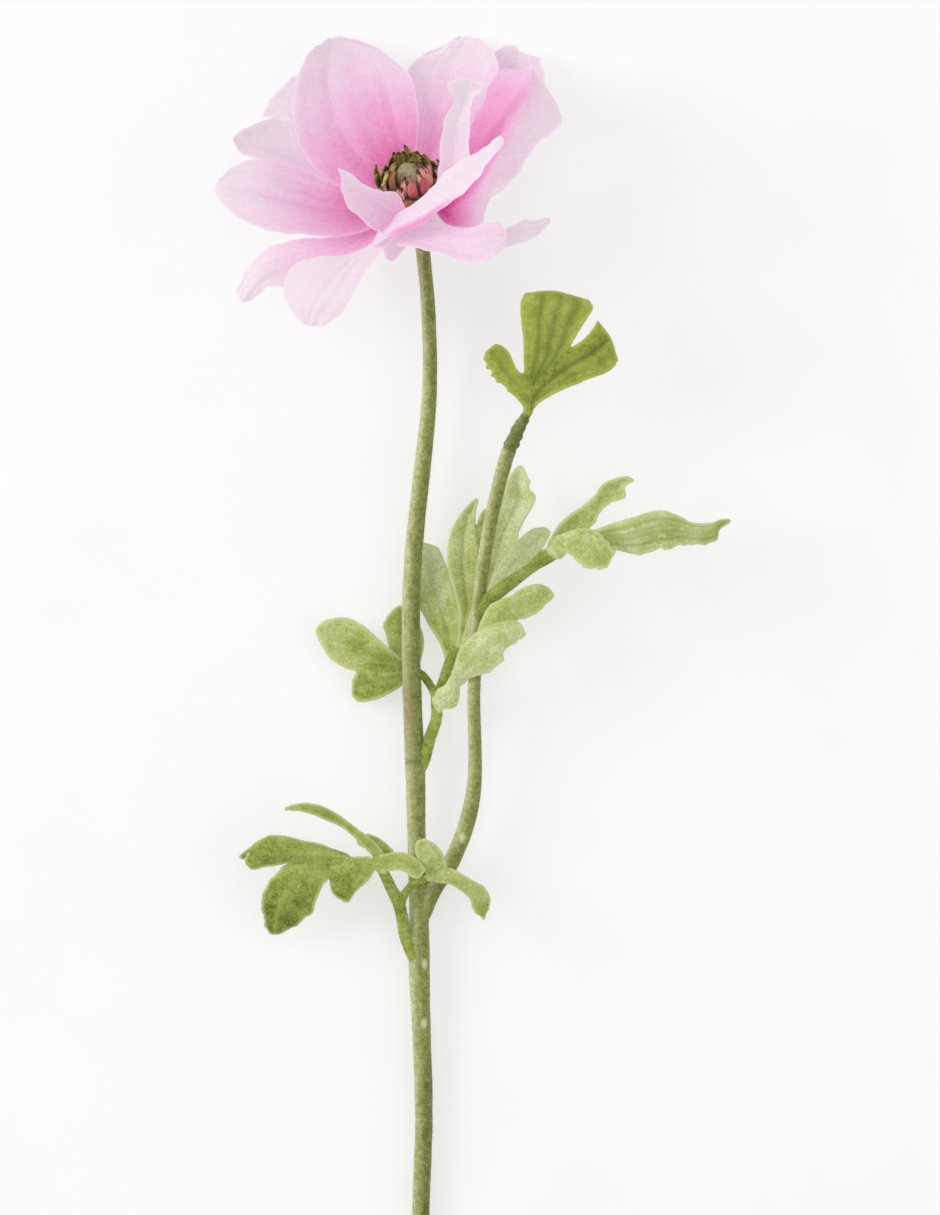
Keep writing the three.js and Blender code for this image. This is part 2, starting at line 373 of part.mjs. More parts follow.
const LEAF_TOP = {
  petioles: [
    [[14.4, 77.4, 24, 1.25], [14.9, 80.5, 24.6, 1.3], [16, 84.1, 25, 1.2]],
  ],
  lobes: [
    [ // middle lobe, a wedge cut off square
      [[14.1, 78.2, 24.5], [14.8, 78.4, 24.5], [15.4, 78.7, 24.5]],
      [[13.4, 82.6, 25.4], [15.2, 82.8, 25.2], [17.5, 83.1, 25.4]],
      [[13.6, 86.7, 26.3], [16.7, 87.2, 26], [20.6, 88.5, 26.3]],
      [[13.5, 91.1, 26.9], [18.8, 91.9, 26.6], [24.2, 92.9, 26.9]],
      [[13.4, 96, 27.3], [19.6, 97, 27], [26.3, 96.5, 27.3]],
      [[12.8, 101.7, 27.3], [20.6, 102.5, 27], [29.2, 101.2, 27.3]],
      [[12.7, 105.6, 26.8], [21.7, 106.1, 26.6], [31, 104.3, 26.8]],
      [[13.7, 108, 26.2], [21.4, 108.5, 26.2], [30, 106.4, 26.2]],
    ],
    [ // right lobe
      [[14.4, 79.2, 24.5], [14.9, 78.7, 24.5], [15.4, 77.9, 24.5]],
      [[16.2, 83.6, 25.6], [17, 82.3, 25.4], [17.8, 80.4, 25.6]],
      [[20.4, 88.2, 26.5], [21.4, 86.2, 26.2], [23, 83.1, 26.5]],
      [[25, 93.2, 27.3], [26.8, 89.8, 27], [28.4, 85.4, 27.3]],
      [[28.6, 95.7, 27.6], [30.7, 91.9, 27.3], [32.5, 86.9, 27.6]],
      [[31, 98.3, 27.2], [33.8, 94.5, 27], [35.9, 88.5, 27.2]],
      [[32.5, 100.8, 26.5], [35.7, 96.3, 26.5], [37.5, 90.8, 26.5]],
    ],
    [ // left lobe with blunt teeth
      [[13.9, 78.2, 24.5], [14.4, 78.9, 24.5], [14.9, 79.7, 24.5]],
      [[12.1, 80.5, 25.5], [13.4, 82.3, 25.3], [14.9, 84.1, 25.5]],
      [[9.7, 82.7, 26.3], [11.5, 84.6, 26], [13.6, 86.6, 26.3]],
      [[7.6, 84.9, 26.9], [9.5, 86.9, 26.6], [11.5, 88, 26.9]],
      [[5.8, 86.3, 27.3], [7.9, 88.8, 27], [10.2, 90.7, 27.3]],
      [[5.1, 88.2, 27.3], [6.9, 90.6, 27], [9.2, 92.8, 27.3]],
      [[3.8, 90, 26.9], [5.6, 91.9, 26.7], [7.6, 94.3, 26.9]],
      [[3.4, 92.7, 26.4], [4.5, 93.7, 26.4], [6.1, 94.9, 26.4]],
    ],
  ],
};

// Petals: nets of points as offsets from the bloom's centre. The rows run from the root out to the tip, each from
// the petal's left edge to its right as seen from above with the tip ahead. Layer 0 is the outermost.
const PETALS = {
  petal_folded: {
    layer: 3,
    net: [
      [[6.7, 3.4, 5], [9.3, 3, 4], [12.4, 2.9, 6]],
      [[7.5, 8.2, 9], [11.4, 7.5, 8], [15.5, 7.3, 11]],
      [[8, 14.5, 13], [11.7, 14.3, 11.5], [15.3, 13.9, 14]],
      [[9.3, 19.8, 16], [12.4, 19.8, 14.5], [15.5, 19.7, 17]],
      [[11.4, 23.5, 18], [13.7, 23.6, 17], [16.1, 23.8, 19]],
      [[11.4, 25.3, 20], [14, 25.8, 19], [16.6, 25.2, 21]],
      [[10.4, 27.2, 22], [14.5, 28, 22], [18.6, 26.9, 23]],
      [[9.9, 29.2, 23], [14.5, 29.8, 24.5], [19.2, 27.9, 24]],
    ],
  },
  petal_front_inner: {
    layer: 3,
    net: [
      [[-3.1, -4.3, 10], [-5.7, -7.6, 10], [-9.6, -12.1, 12]],
      [[0.3, -2.7, 16], [-2, -6.1, 17], [-6.1, -11.3, 19]],
      [[4.7, 0.7, 21], [4, -3.3, 24], [1.9, -8.3, 27]],
      [[9.4, 5.7, 25], [10.1, 1.2, 28], [10.4, -2.5, 31]],
      [[13.7, 8.9, 28], [15.3, 5.4, 31], [16.3, 2.2, 34]],
      [[18.6, 11.3, 31], [19.4, 8.9, 33], [19.7, 6.8, 35]],
      [[23.5, 14.8, 33], [24.3, 13.5, 33.5], [23.5, 11.4, 34]],
    ],
  },
  petal_front_curled: {
    layer: 3,
    net: [
      [[-6.2, -9.2, 10], [-3.6, -5.5, 9], [-1.3, -2.9, 9]],
      [[-10, -8.1, 15], [-6.7, -3.4, 13], [-3.6, 0.5, 14]],
      [[-13.4, -5.4, 18], [-10.8, -1.4, 16], [-8.5, 1.4, 17]],
      [[-16.2, -2.4, 20], [-14.1, 0.6, 18], [-12.1, 3.1, 18]],
      [[-17.7, 1.2, 21], [-16.4, 2.8, 20], [-14.4, 4.9, 19]],
      [[-17.7, 4.3, 21], [-17.2, 4.9, 20], [-16.4, 5.9, 20]],
      [[-18.7, 6.4, 21], [-18.6, 6.6, 21], [-18.2, 6.9, 21]],
    ],
  },
  petal_back_left: {
    layer: 2,
    net: [
      [[-11, 0.6, -1], [-4.5, 8.1, -6], [1.5, 12.3, -6]],
      [[-20.9, 4.9, -5], [-8.5, 15.6, -10], [2.2, 21.3, -9]],
      [[-28.3, 12.4, -9], [-12.2, 24.1, -14], [1.2, 28.3, -13]],
      [[-30.7, 23, -12], [-14.8, 32.7, -17], [-0.7, 33.3, -14]],
      [[-29.7, 31.4, -13], [-15.9, 37.9, -17], [-3.5, 35.9, -14]],
      [[-27.6, 37.1, -13], [-16.4, 41.5, -16], [-6.9, 38.7, -13]],
      [[-24.9, 40.5, -12], [-18.2, 42.9, -15], [-11.6, 41.3, -13]],
    ],
  },
  petal_left: {
    layer: 2,
    net: [
      [[-8.3, -7, 6], [-11, -2.6, 1], [-12.6, 1.7, -2]],
      [[-16.3, -10.2, 10], [-19.5, -3.7, 3], [-20.4, 4, -2]],
      [[-26.9, -10.1, 13], [-29.1, -2, 5], [-28.2, 7.4, -3]],
      [[-36.2, -8.8, 13], [-37.6, 0.6, 6], [-35.4, 9.7, -2]],
      [[-43.5, -5.9, 11], [-44.1, 1.9, 5], [-41.7, 9.9, -1]],
      [[-47.7, -2.6, 8], [-48.3, 2.7, 4], [-45.8, 8.1, 0]],
      [[-50.1, 0.3, 5], [-50.9, 2.5, 3], [-49.7, 4.9, 2]],
    ],
  },
  petal_lower: {
    layer: 2,
    net: [
      [[-4.1, -10.8, 12], [-6.2, -10.2, 10], [-8.3, -10.7, 9]],
      [[-8.2, -15.1, 16], [-11.9, -14.5, 14], [-15.8, -15, 13]],
      [[-10.5, -18.3, 19], [-16.7, -19.1, 18], [-24.5, -15.9, 16]],
      [[-13.1, -23.1, 22], [-20, -23.5, 21], [-29.9, -18.2, 17]],
      [[-15.4, -27.2, 23], [-22.9, -27.4, 22], [-32.7, -23.4, 18]],
      [[-18.5, -31.6, 22], [-24.9, -30.8, 21], [-31.2, -28.9, 19]],
      [[-22.1, -33.9, 21], [-25.5, -34.1, 20], [-28.6, -32.5, 19]],
    ],
  },
  petal_right: {
    layer: 2,
    net: [
      [[7.7, 5.8, -1], [8.8, 2.1, 1], [9.6, -2.2, 4], [10.4, -7.6, 2]],
      [[10.9, 9.9, 0], [13.7, 6.7, 2], [16.6, 2.8, 9], [17.9, -8.2, 4]],
      [[14.5, 16.7, 0], [18.7, 13.9, 4], [22.3, 11.3, 14], [20.5, -1.3, 8]],
      [[18.1, 23.9, 0], [22.3, 20.6, 4], [26.1, 18, 15], [26.9, 4.3, 10]],
      [[21.3, 30, -1], [25.9, 26.9, 4], [30, 24.8, 14], [31.9, 12.3, 11]],
      [[23.6, 32.6, -1], [28.3, 30.2, 4], [32.1, 29, 12], [38.9, 18.8, 9]],
      [[26, 33.6, -1], [29.8, 32.4, 3], [32.7, 31.3, 9], [38.6, 23.6, 7]],
      [[28.3, 33.3, 0], [30.1, 33.7, 2], [32.2, 33, 6], [35, 26, 6]],
    ],
  },
  petal_back_right: {
    layer: 1,
    net: [
      [[-0.1, 10.3, -9], [4.3, 9.5, -8], [8.8, 9.3, -5]],
      [[-1.7, 19.7, -14], [7.2, 18.8, -12], [15.5, 19.1, -8]],
      [[-2.2, 28.5, -17.5], [9.8, 27.1, -15.5], [20.8, 26.5, -9]],
      [[-0.7, 34.6, -19.7], [11.6, 33.8, -18], [22.6, 31.8, -10.5]],
      [[3.5, 38.6, -20], [13.5, 38.3, -19], [22.6, 36.6, -12.5]],
      [[8.5, 40.9, -20], [14.5, 41.2, -19.4], [20.5, 40.1, -15]],
      [[11.9, 43, -19.9], [14.8, 43.3, -19.5], [17.9, 42.4, -17.5]],
    ],
  },
  petal_upper_left: {
    layer: 1,
    net: [
      [[-11.8, -1.7, -2], [-10, 3.4, -6], [-7.9, 8.2, -8]],
      [[-20.9, 2.2, -3], [-19.7, 8.2, -9], [-17.1, 15.7, -12]],
      [[-30, 5.9, -3], [-28.8, 12.4, -10], [-26.3, 19.9, -13]],
      [[-37, 9.3, -3], [-36.6, 14.7, -9], [-34.1, 21.4, -12]],
      [[-41.7, 10.8, -3], [-41.8, 15.2, -7], [-38.7, 20.5, -9]],
      [[-44.3, 12.1, -3], [-44.9, 15.3, -5], [-42.8, 18.5, -6]],
      [[-45.4, 13.7, -3], [-46.2, 15.5, -4], [-45.1, 17.4, -5]],
    ],
  },
  petal_lower_left: {
    layer: 1,
    net: [
      [[-7.3, -11.2, 8], [-9.9, -7.9, 4], [-12, -5.7, 1]],
      [[-15, -16.9, 9], [-17.6, -13, 7], [-19, -10, 5]],
      [[-24.1, -21.6, 9], [-26.4, -15.9, 8], [-27.8, -10.6, 5]],
      [[-31.4, -23.4, 8], [-33.7, -17.9, 8], [-35.8, -12.6, 5]],
      [[-35.8, -23.3, 7], [-38.4, -20.2, 7], [-40.8, -16.5, 4]],
      [[-39.2, -25.1, 5], [-41.3, -23, 5], [-43.4, -20.6, 3]],
      [[-41.3, -26.9, 4], [-43.6, -26.9, 4], [-45.2, -24.8, 3]],
    ],
  },
  petal_lower_right: {
    layer: 1,
    net: [
      [[3.9, -6.7, 12], [0.5, -9.3, 13], [-3.6, -12.2, 15]],
      [[7.8, -6.9, 17], [5.2, -10.9, 20], [1.9, -13.8, 23]],
      [[11.7, -8.6, 22], [10.4, -12.6, 26], [8.9, -16.1, 29]],
      [[15.5, -8.5, 26], [15, -13.6, 31], [14.8, -18.1, 34]],
      [[19.1, -7.6, 29], [19.1, -12.9, 34], [19.9, -17.4, 36]],
      [[23, -7.7, 31], [23, -12.2, 35], [23, -15.8, 36]],
      [[24.8, -9, 33], [25, -11.2, 35], [24.5, -13.2, 35]],
    ],
  },
  petal_ruffled: {
    layer: 0,
    net: [
      [[6.7, 9.9, -11], [10.3, 9, -9], [13.7, 7.6, -6]],
      [[11.6, 19.8, -16], [17.4, 17.8, -13], [22.6, 15.5, -8]],
      [[16.6, 30.3, -18], [23.9, 26.8, -15], [30.7, 22, -9]],
      [[20.3, 37, -19.8], [27.6, 32.9, -16], [34.6, 26.5, -9]],
      [[22.9, 39.9, -20], [29.2, 36.6, -17.5], [35.1, 31.3, -11]],
      [[27.1, 41.2, -20], [29.2, 38.8, -18.5], [33.6, 37.8, -15]],
    ],
  },
  petal_behind: {
    layer: 0,
    net: [
      [[-10, 5.6, -8], [-6.9, 9, -10], [-3.2, 10.9, -11]],
      [[-19.7, 13, -11], [-15.3, 17.9, -14], [-9.3, 22.4, -16]],
      [[-28.9, 18.9, -14], [-24.2, 24.3, -17.5], [-18.5, 29.1, -19.6]],
      [[-36.5, 21.6, -15], [-31.6, 27.2, -18.6], [-26.4, 32.8, -20]],
      [[-38.6, 22.1, -15.5], [-36.3, 27.2, -18.6], [-31.1, 32.5, -19.9]],
    ],
  },
  petal_far_right: {
    layer: 0,
    net: [
      [[10.9, -6.3, 1], [9.8, -7.9, 3], [8.3, -9.5, 5]],
      [[18.7, -8.2, 5], [17.6, -9.6, 7], [16.1, -11.8, 10]],
      [[24.6, -8.3, 8], [24.1, -10.5, 10], [23.3, -13.2, 13]],
      [[29.5, -6.2, 9], [29, -9, 12], [28.2, -12.2, 14]],
      [[32.6, -6.1, 10], [32.9, -8.2, 12], [32.1, -10.9, 13]],
      [[35.2, -5.6, 11], [35.5, -6.7, 12], [35, -8.2, 12]],
      [[36.3, -6.1, 11.5], [36.3, -6.4, 12], [36, -6.9, 12]],
    ],
  },
  petal_small: {
    layer: 0,
    net: [
      [[1.5, -6.4, 5], [-1.3, -6.9, 3], [-4.4, -6.3, 3]],
      [[0, -11.2, 8], [-3.1, -11.1, 6], [-6.8, -10.6, 5]],
      [[-2.6, -14.9, 9], [-4.7, -15.3, 8], [-7, -13.8, 7]],
      [[-4.4, -16.7, 8.5], [-5.2, -16.6, 8], [-6.2, -15.9, 8]],
    ],
  },
};

// ---------- solids ----------
const vector = (p) => new THREE.Vector3(p[0], p[1], p[2]);
const spline = (points) => new THREE.CatmullRomCurve3(points, false, "catmullrom", 0.5);

// A closed solid from vertices and triangles.
function solid(vertices, triangles) {
  const mesh = new wasm.Mesh({
    numProp: 3,
    vertProperties: new Float32Array(vertices.flatMap((v) => [v.x, v.y, v.z])),
    triVerts: new Uint32Array(triangles.flat()),
  });
  return new wasm.Manifold(mesh);
}

// A closed solid from a three.js geometry.
function solidOf(geometry) {
  const bare = geometry.index ? geometry.toNonIndexed() : geometry.clone();
  bare.deleteAttribute("normal");
  bare.deleteAttribute("uv");
  const merged = mergeVertices(bare, 1e-4);
  const mesh = new wasm.Mesh({
    numProp: 3,
    vertProperties: merged.attributes.position.array,
    triVerts: new Uint32Array(merged.index.array),
  });
  return new wasm.Manifold(mesh);
}

// Value at t of stations [t, a, b...], column k, along a smooth curve through them.
function through(stations, t, k) {
  let i = 0;
  while (i < stations.length - 2 && t > stations[i + 1][0]) i += 1;
  const slope = (j) => {
    const a = stations[Math.max(j - 1, 0)];
    const b = stations[Math.min(j + 1, stations.length - 1)];
    return (b[k] - a[k]) / (b[0] - a[0]);
  };
  const [p, q] = [stations[i], stations[i + 1]];
  const span = q[0] - p[0];
  const s = Math.min(Math.max((t - p[0]) / span, 0), 1);
  const [s2, s3] = [s * s, s * s * s];
  const ends = (2 * s3 - 3 * s2 + 1) * p[k] + (3 * s2 - 2 * s3) * q[k];
  return ends + span * ((s3 - 2 * s2 + s) * slope(i) + (s3 - s2) * slope(i + 1));
}

// -1 on the first of a row of steps, 1 on the last, and 0 between.
const endSign = (i, last) => (i === last) - (i === 0);

// A round bar along points [x, y, z, radius], with flat ends.
function bar(route, sides, stepsPerPoint, grow = 0) {
  const curve = spline(route.map(vector));
  const radii = route.map((p, i) => [i / (route.length - 1), p[3]]);
  const steps = (route.length - 1) * stepsPerPoint;
  const vertices = [];
  const triangles = [];
  let across = new THREE.Vector3(0, 0, 1);
  for (let i = 0; i <= steps; i += 1) {
    const t = i / steps;
    const along = curve.getTangent(t);
    across = across.clone().addScaledVector(along, -across.dot(along)).normalize();
    const other = new THREE.Vector3().crossVectors(along, across);
    const radius = through(radii, t, 1) + grow;
    for (let j = 0; j < sides; j += 1) {
      const angle = ((j + 0.5) / sides) * 2 * Math.PI;
      vertices.push(
        curve
          .getPoint(t)
          .addScaledVector(along, grow * endSign(i, steps))
          .addScaledVector(across, radius * Math.cos(angle))
          .addScaledVector(other, radius * Math.sin(angle)),
      );
    }
  }
  for (let i = 0; i < steps; i += 1) {
    for (let j = 0; j < sides; j += 1) {
      const [a, b] = [i * sides + j, i * sides + ((j + 1) % sides)];
      triangles.push([a, b, b + sides], [a, b + sides, a + sides]);
    }
  }
  const last = steps * sides;
  for (let j = 1; j < sides - 1; j += 1) {
    triangles.push([0, j + 1, j], [last, last + j, last + j + 1]);
  }
  return solid(vertices, triangles);
}

// A flat scale along a path, with its upper face to one side; outline is [place, half-width] stations.
function scale(path, upward, outline) {
  const curve = spline(path);
  const grid = [];
  for (let i = 0; i <= SCALE_ROWS; i += 1) {
    const t = crowded(i / SCALE_ROWS);
    const along = curve.getTangent(t);
    const up = upward.clone().addScaledVector(along, -upward.dot(along)).normalize();
    const right = new THREE.Vector3().crossVectors(along, up).multiplyScalar(through(outline, t, 1));
    grid.push([curve.getPoint(t).sub(right), curve.getPoint(t).add(right)]);
  }
  return sheet(grid, SCALE_THICK);
}

// Even steps from 0 to 1, drawn together at the end.
const crowded = (t) => 1 - (1 - t) ** 1.25;

// A grid of points on the smooth surface through rows of points, closer together at the last row.
function gridOn(rows, along, across) {
  const columns = rows[0].map((_, j) => spline(rows.map((row) => row[j])));
  return Array.from({ length: along + 1 }, (_, i) => {
    const t = crowded(i / along);
    const line = spline(columns.map((column) => column.getPoint(t)));
    return Array.from({ length: across + 1 }, (_, j) => line.getPoint(j / across));
  });
}

// A closed slab on a grid of points, with the same split into triangles on both faces.
function sheet(grid, thick) {
  const [rows, columns] = [grid.length - 1, grid[0].length - 1];
  const at = (i, j) => grid[Math.min(Math.max(i, 0), rows)][Math.min(Math.max(j, 0), columns)];
  const faces = [1, -1].map((side) =>
    grid.flatMap((row, i) =>
      row.map((point, j) => {
        const down = at(i + 1, j).clone().sub(at(i - 1, j));
        const over = at(i, j + 1).clone().sub(at(i, j - 1));
        const normal = over.cross(down).normalize();
        return point.clone().addScaledVector(normal, (side * thick) / 2);
      }),
    ),
  );
  const count = faces[0].length;
  const index = (i, j) => i * (columns + 1) + j;
  const triangles = [];
  for (let i = 0; i < rows; i += 1) {
    for (let j = 0; j < columns; j += 1) {
      const [a, b, c, d] = [index(i, j), index(i, j + 1), index(i + 1, j + 1), index(i + 1, j)];
      triangles.push([a, b, c], [a, c, d]);
      triangles.push([a + count, c + count, b + count], [a + count, d + count, c + count]);
    }
  }
  const rim = [];
  for (let j = 0; j < columns; j += 1) rim.push(index(0, j));
  for (let i = 0; i < rows; i += 1) rim.push(index(i, columns));
  for (let j = columns; j > 0; j -= 1) rim.push(index(rows, j));
  for (let i = rows; i > 0; i -= 1) rim.push(index(i, 0));
  rim.forEach((a, k) => {
    const b = rim[(k + 1) % rim.length];
    triangles.push([b, a, a + count], [b, a + count, b + count]);
  });
  return solid([...faces[0], ...faces[1]], triangles);
}

const joined = (solids) => solids.reduce((sum, next) => sum.add(next));
const largest = (body) => body.decompose().sort((a, b) => b.volume() - a.volume())[0];

// What lies above the surface that the spray rests on.
function aboveSurface(body) {
  const below = new THREE.BoxGeometry(600, 600, 40).translate(0, 0, -20);
  return body.subtract(solidOf(below));
}

// ---------- bloom's frame ----------
const bloomFrame = (() => {
  const back = new THREE.Vector3(0, BLOOM_AXIS.z, -BLOOM_AXIS.y).normalize();
  const side = new THREE.Vector3().crossVectors(back, BLOOM_AXIS);
  const frame = new THREE.Matrix4().makeBasis(side, back, BLOOM_AXIS);
  return frame.setPosition(vector(BLOOM_CENTRE));
})();

// A point of the bloom from its radius and angle round the axis and its height along it.
function bloomPoint(radius, angle, height) {
  const point = new THREE.Vector3(radius * Math.cos(angle), radius * Math.sin(angle), height);
  return point.applyMatrix4(bloomFrame);
}

// A solid of revolution round the bloom's axis, from [radius, height] points that start and end on the axis.
function turned(profile, sides) {
  const lathe = new THREE.LatheGeometry(profile.map(([r, h]) => new THREE.Vector2(r, h)), sides);
  return solidOf(lathe.rotateX(Math.PI / 2).applyMatrix4(bloomFrame));
}

// ---------- sub-parts ----------
function stalkSolid(grow = 0) {
  const collar = bar(
    [-0.5, 0.5].map((k) => [
      COLLAR.centre[0],
      COLLAR.centre[1] + k * COLLAR.height,
      COLLAR.centre[2],
      COLLAR.radius,
    ]),
    STALK_SIDES,
    1,
    grow,
  );
  return joined([
    bar(STALK_ROUTE, STALK_SIDES, 2, grow),
    bar(BRANCH_ROUTE, PETIOLE_SIDES, 2, grow),
    collar,
    knobSolid(grow),
  ]);
}

function knobSolid(grow = 0) {
  const [radius, top] = [KNOB_RADIUS + grow, KNOB_TOP + grow];
  const underside = KNOB_UNDERSIDE.map(([share, height]) => [share * radius, height - grow]);
  return turned([...underside, [radius, top], [0, top]], 16);
}

function leafSolid(leaf) {
  const lobes = leaf.lobes.map((net) => {
    const rows = net.map((row) => row.map(vector));
    return sheet(gridOn(rows, LOBE_ROWS, LOBE_COLUMNS), LEAF_THICK);
  });
  const petioles = leaf.petioles.map((route) => bar(route, PETIOLE_SIDES, 2));
  const whole = joined([...petioles, ...lobes]);
  return largest(aboveSurface(whole.subtract(fatStalk)));
}

// The row of points where a petal grows from the knob, across from its left edge to its right.
function petalRoot(net, layer) {
  const radial = vector(net[0][1]).projectOnPlane(BLOOM_AXIS).normalize();
  const across = new THREE.Vector3().crossVectors(radial, BLOOM_AXIS);
  const last = net[0].length - 1;
  return net[0].map((_, j) =>
    radial
      .clone()
      .multiplyScalar(KNOB_RADIUS + GAP)
      .addScaledVector(across, ROOT_HALF_WIDTH * ((2 * j) / last - 1))
      .addScaledVector(BLOOM_AXIS, OUTER_LAYER + layer * PETAL_LAYER_STEP),
  );
}

function petalSolid({ net, layer }, grow = 0) {
  const rows = [petalRoot(net, layer), ...net.map((row) => row.map(vector))];
  const grid = gridOn(rows, PETAL_ROWS, PETAL_COLUMNS);
  grid.flat().forEach((point) => point.add(vector(BLOOM_CENTRE)));
  return sheet(grow ? widened(grid, grow) : grid, PETAL_THICK + 2 * grow);
}

// A grid of points whose outermost points are moved outward.
function widened(grid, reach) {
  const away = (point, inner) => point.clone().add(point.clone().sub(inner).setLength(reach));
  const wider = grid.map((row) => {
    const last = row.length - 1;
    return [away(row[0], row[1]), ...row.slice(1, last), away(row[last], row[last - 1])];
  });
  const last = wider.length - 1;
  const first = wider[0].map((point, j) => away(point, wider[1][j]));
  const end = wider[last].map((point, j) => away(point, wider[last - 1][j]));
  return [first, ...wider.slice(1, last), end];
}

// Room that the crown of stamens and the seed head keep clear of petals.
function crownRoom() {
  const wide = CROWN_RADIUS + 2 * GAP;
  const floor = [[0, CROWN_FLOOR], [0.8 * wide, CROWN_FLOOR], [wide, CROWN_SHOULDER]];
  return turned([...floor, [wide, CROWN_TOP], [0, CROWN_TOP]], 24);
}

function petalSolids() {
  const inward = Object.entries(PETALS).sort((a, b) => b[1].layer - a[1].layer);
  const room = crownRoom().add(fatStalk);
  const taken = [];
  return inward.map(([name, petal]) => {
    const clear = [room, ...taken].reduce((body, other) => body.subtract(other), petalSolid(petal));
    taken.push(petalSolid(petal, GAP));
    return [name, largest(aboveSurface(clear))];
  });
}

// ---------- centre of the bloom ----------
function randomFrom(seed) {
  let state = seed;
  return () => {
    state = (state * 1664525 + 1013904223) % 4294967296;
    return state / 4294967296;
  };
}

// Scales that stand on a ring: every one's root is sunk in the ring, and its tip curls back in to the axis.
function crown({ ring, rows, seed, unevenness }) {
  const random = randomFrom(seed);
  const [inner, outer, foot, top] = ring;
  const base = turned([[inner, foot], [outer, foot], [outer, top], [inner, top], [inner, foot]], 24);
  const scales = rows.flatMap(([count, rootRadius, wideRadius, tipRadius, tipHeight, half]) =>
    Array.from({ length: count }, (_, i) => {
      const angle = ((i + 0.4 * random()) / count) * 2 * Math.PI;
      const reach = tipHeight + unevenness * (random() - 0.5);
      const path = [
        [rootRadius, foot + 0.3],
        [wideRadius, foot + 0.45 * (reach - foot)],
        [tipRadius + 0.6 * (random() - 0.5), reach],
      ].map(([radius, height]) => bloomPoint(radius, angle, height));
      const inward = bloomPoint(0, 0, 0).sub(bloomPoint(1, angle, 0));
      const outline = [...SCALE_OUTLINE.map(([place, share]) => [place, share * half]), [1, SCALE_TIP]];
      return scale(path, inward, outline);
    }),
  );
  return joined([base, ...scales]);
}

// ---------- the spray ----------
function piece(name, body, [colour, roughness]) {
  const mesh = body.getMesh();
  const geometry = new THREE.BufferGeometry();
  geometry.setAttribute("position", new THREE.BufferAttribute(mesh.vertProperties, 3));
  geometry.setIndex(new THREE.BufferAttribute(mesh.triVerts, 1));
  geometry.computeVertexNormals();
  const made = new THREE.Mesh(geometry, new THREE.MeshStandardMaterial({ color: colour, roughness, metalness: 0 }));
  made.name = name;
  return made;
}

const fatStalk = stalkSolid(GAP);
const spray = new THREE.Group();
spray.name = "anemone_flower";
spray.add(
  piece("stalk", aboveSurface(stalkSolid()), COLOURS.stalk),
  piece("leaf_lower", leafSolid(LEAF_LOWER), COLOURS.leaf),
  piece("leaf_upper", leafSolid(LEAF_UPPER), COLOURS.leaf),
  piece("leaf_side", leafSolid(LEAF_SIDE), COLOURS.leaf),
  piece("leaf_top", leafSolid(LEAF_TOP), COLOURS.topLeaf),
  ...petalSolids().map(([name, body]) => piece(name, body, COLOURS.petal)),
  piece("seed_head", turned(SEED_HEAD, 20), COLOURS.seedHead),
  piece("rose_scales", crown(ROSE_SCALES), COLOURS.scales),
  piece("stamens", crown(STAMENS), COLOURS.stamens),
);

export default spray;
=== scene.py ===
"""Looks of the anemone flower: a cut spray with one open pink bloom, a side branch and four flocked leaves.

It lies on a pale floor and is seen from straight above. Lengths are in millimetres, in the part's own frame:
+Y runs along the stalk to the bloom, +Z is up, and the origin is under the middle of the spray.
"""

import json
import math

import bpy
import numpy as np
from mathutils import Matrix, Vector, noise
from mathutils.bvhtree import BVHTree
from mathutils.kdtree import KDTree

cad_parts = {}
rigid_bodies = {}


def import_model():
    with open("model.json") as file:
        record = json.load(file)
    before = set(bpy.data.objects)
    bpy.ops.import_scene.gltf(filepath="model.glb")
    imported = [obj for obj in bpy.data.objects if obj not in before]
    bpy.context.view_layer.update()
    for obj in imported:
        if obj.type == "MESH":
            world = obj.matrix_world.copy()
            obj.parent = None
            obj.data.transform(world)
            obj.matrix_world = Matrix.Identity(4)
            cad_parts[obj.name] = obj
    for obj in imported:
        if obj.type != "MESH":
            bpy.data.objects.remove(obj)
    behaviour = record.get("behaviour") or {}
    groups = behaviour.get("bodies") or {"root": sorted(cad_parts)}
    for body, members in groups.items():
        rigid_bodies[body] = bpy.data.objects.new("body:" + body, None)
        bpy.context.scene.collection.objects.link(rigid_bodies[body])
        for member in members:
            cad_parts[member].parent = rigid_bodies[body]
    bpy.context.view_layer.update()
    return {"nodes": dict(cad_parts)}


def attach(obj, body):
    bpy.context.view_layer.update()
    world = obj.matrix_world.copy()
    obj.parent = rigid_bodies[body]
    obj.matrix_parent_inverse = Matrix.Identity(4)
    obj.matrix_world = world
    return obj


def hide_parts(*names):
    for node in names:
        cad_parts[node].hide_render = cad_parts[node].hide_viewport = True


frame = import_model()

MM = 0.001
TAU = 2 * math.pi

# ---------- driving dimensions, with lengths in millimetres ----------
PETAL_THICK = 0.42
PETAL_RIM = 0.22
PETAL_RIM_WIDTH = 2.5  # from its edge to where it has its full thickness
PETAL_GRID = (80, 40)
PETAL_CROWDING = 1.35  # above 1, columns crowd to both edges
EDGE_WAVE = 0.5  # how far a petal's edge waves in and out
# Painted glow: a petal gives off this share of its brightness itself, in place of light that comes through
# it, so its shade is lighter.
PETAL_GLOW = 0.42  # share of a petal's brightness that is its own, in place of light that comes through it
LEAF_THICK = 1.0
LEAF_EDGE = (0.75, 1.5)  # share of that at its edge, and from there to where it has all of it
LOBE_GRID = (72, 20)
# A lobe's cup fades at both ends: n rows from one, a row has (n + first) / second of it, and at most all.
CUP_FADE = (0.2, 1.5)
SKIN_CELL = 0.26  # size of the cells in which a leaf's lobes and petioles grow into one skin
SKIN_LOSS = 0.25  # how far that draws a lobe's edges in
STALK_CELL = 0.4
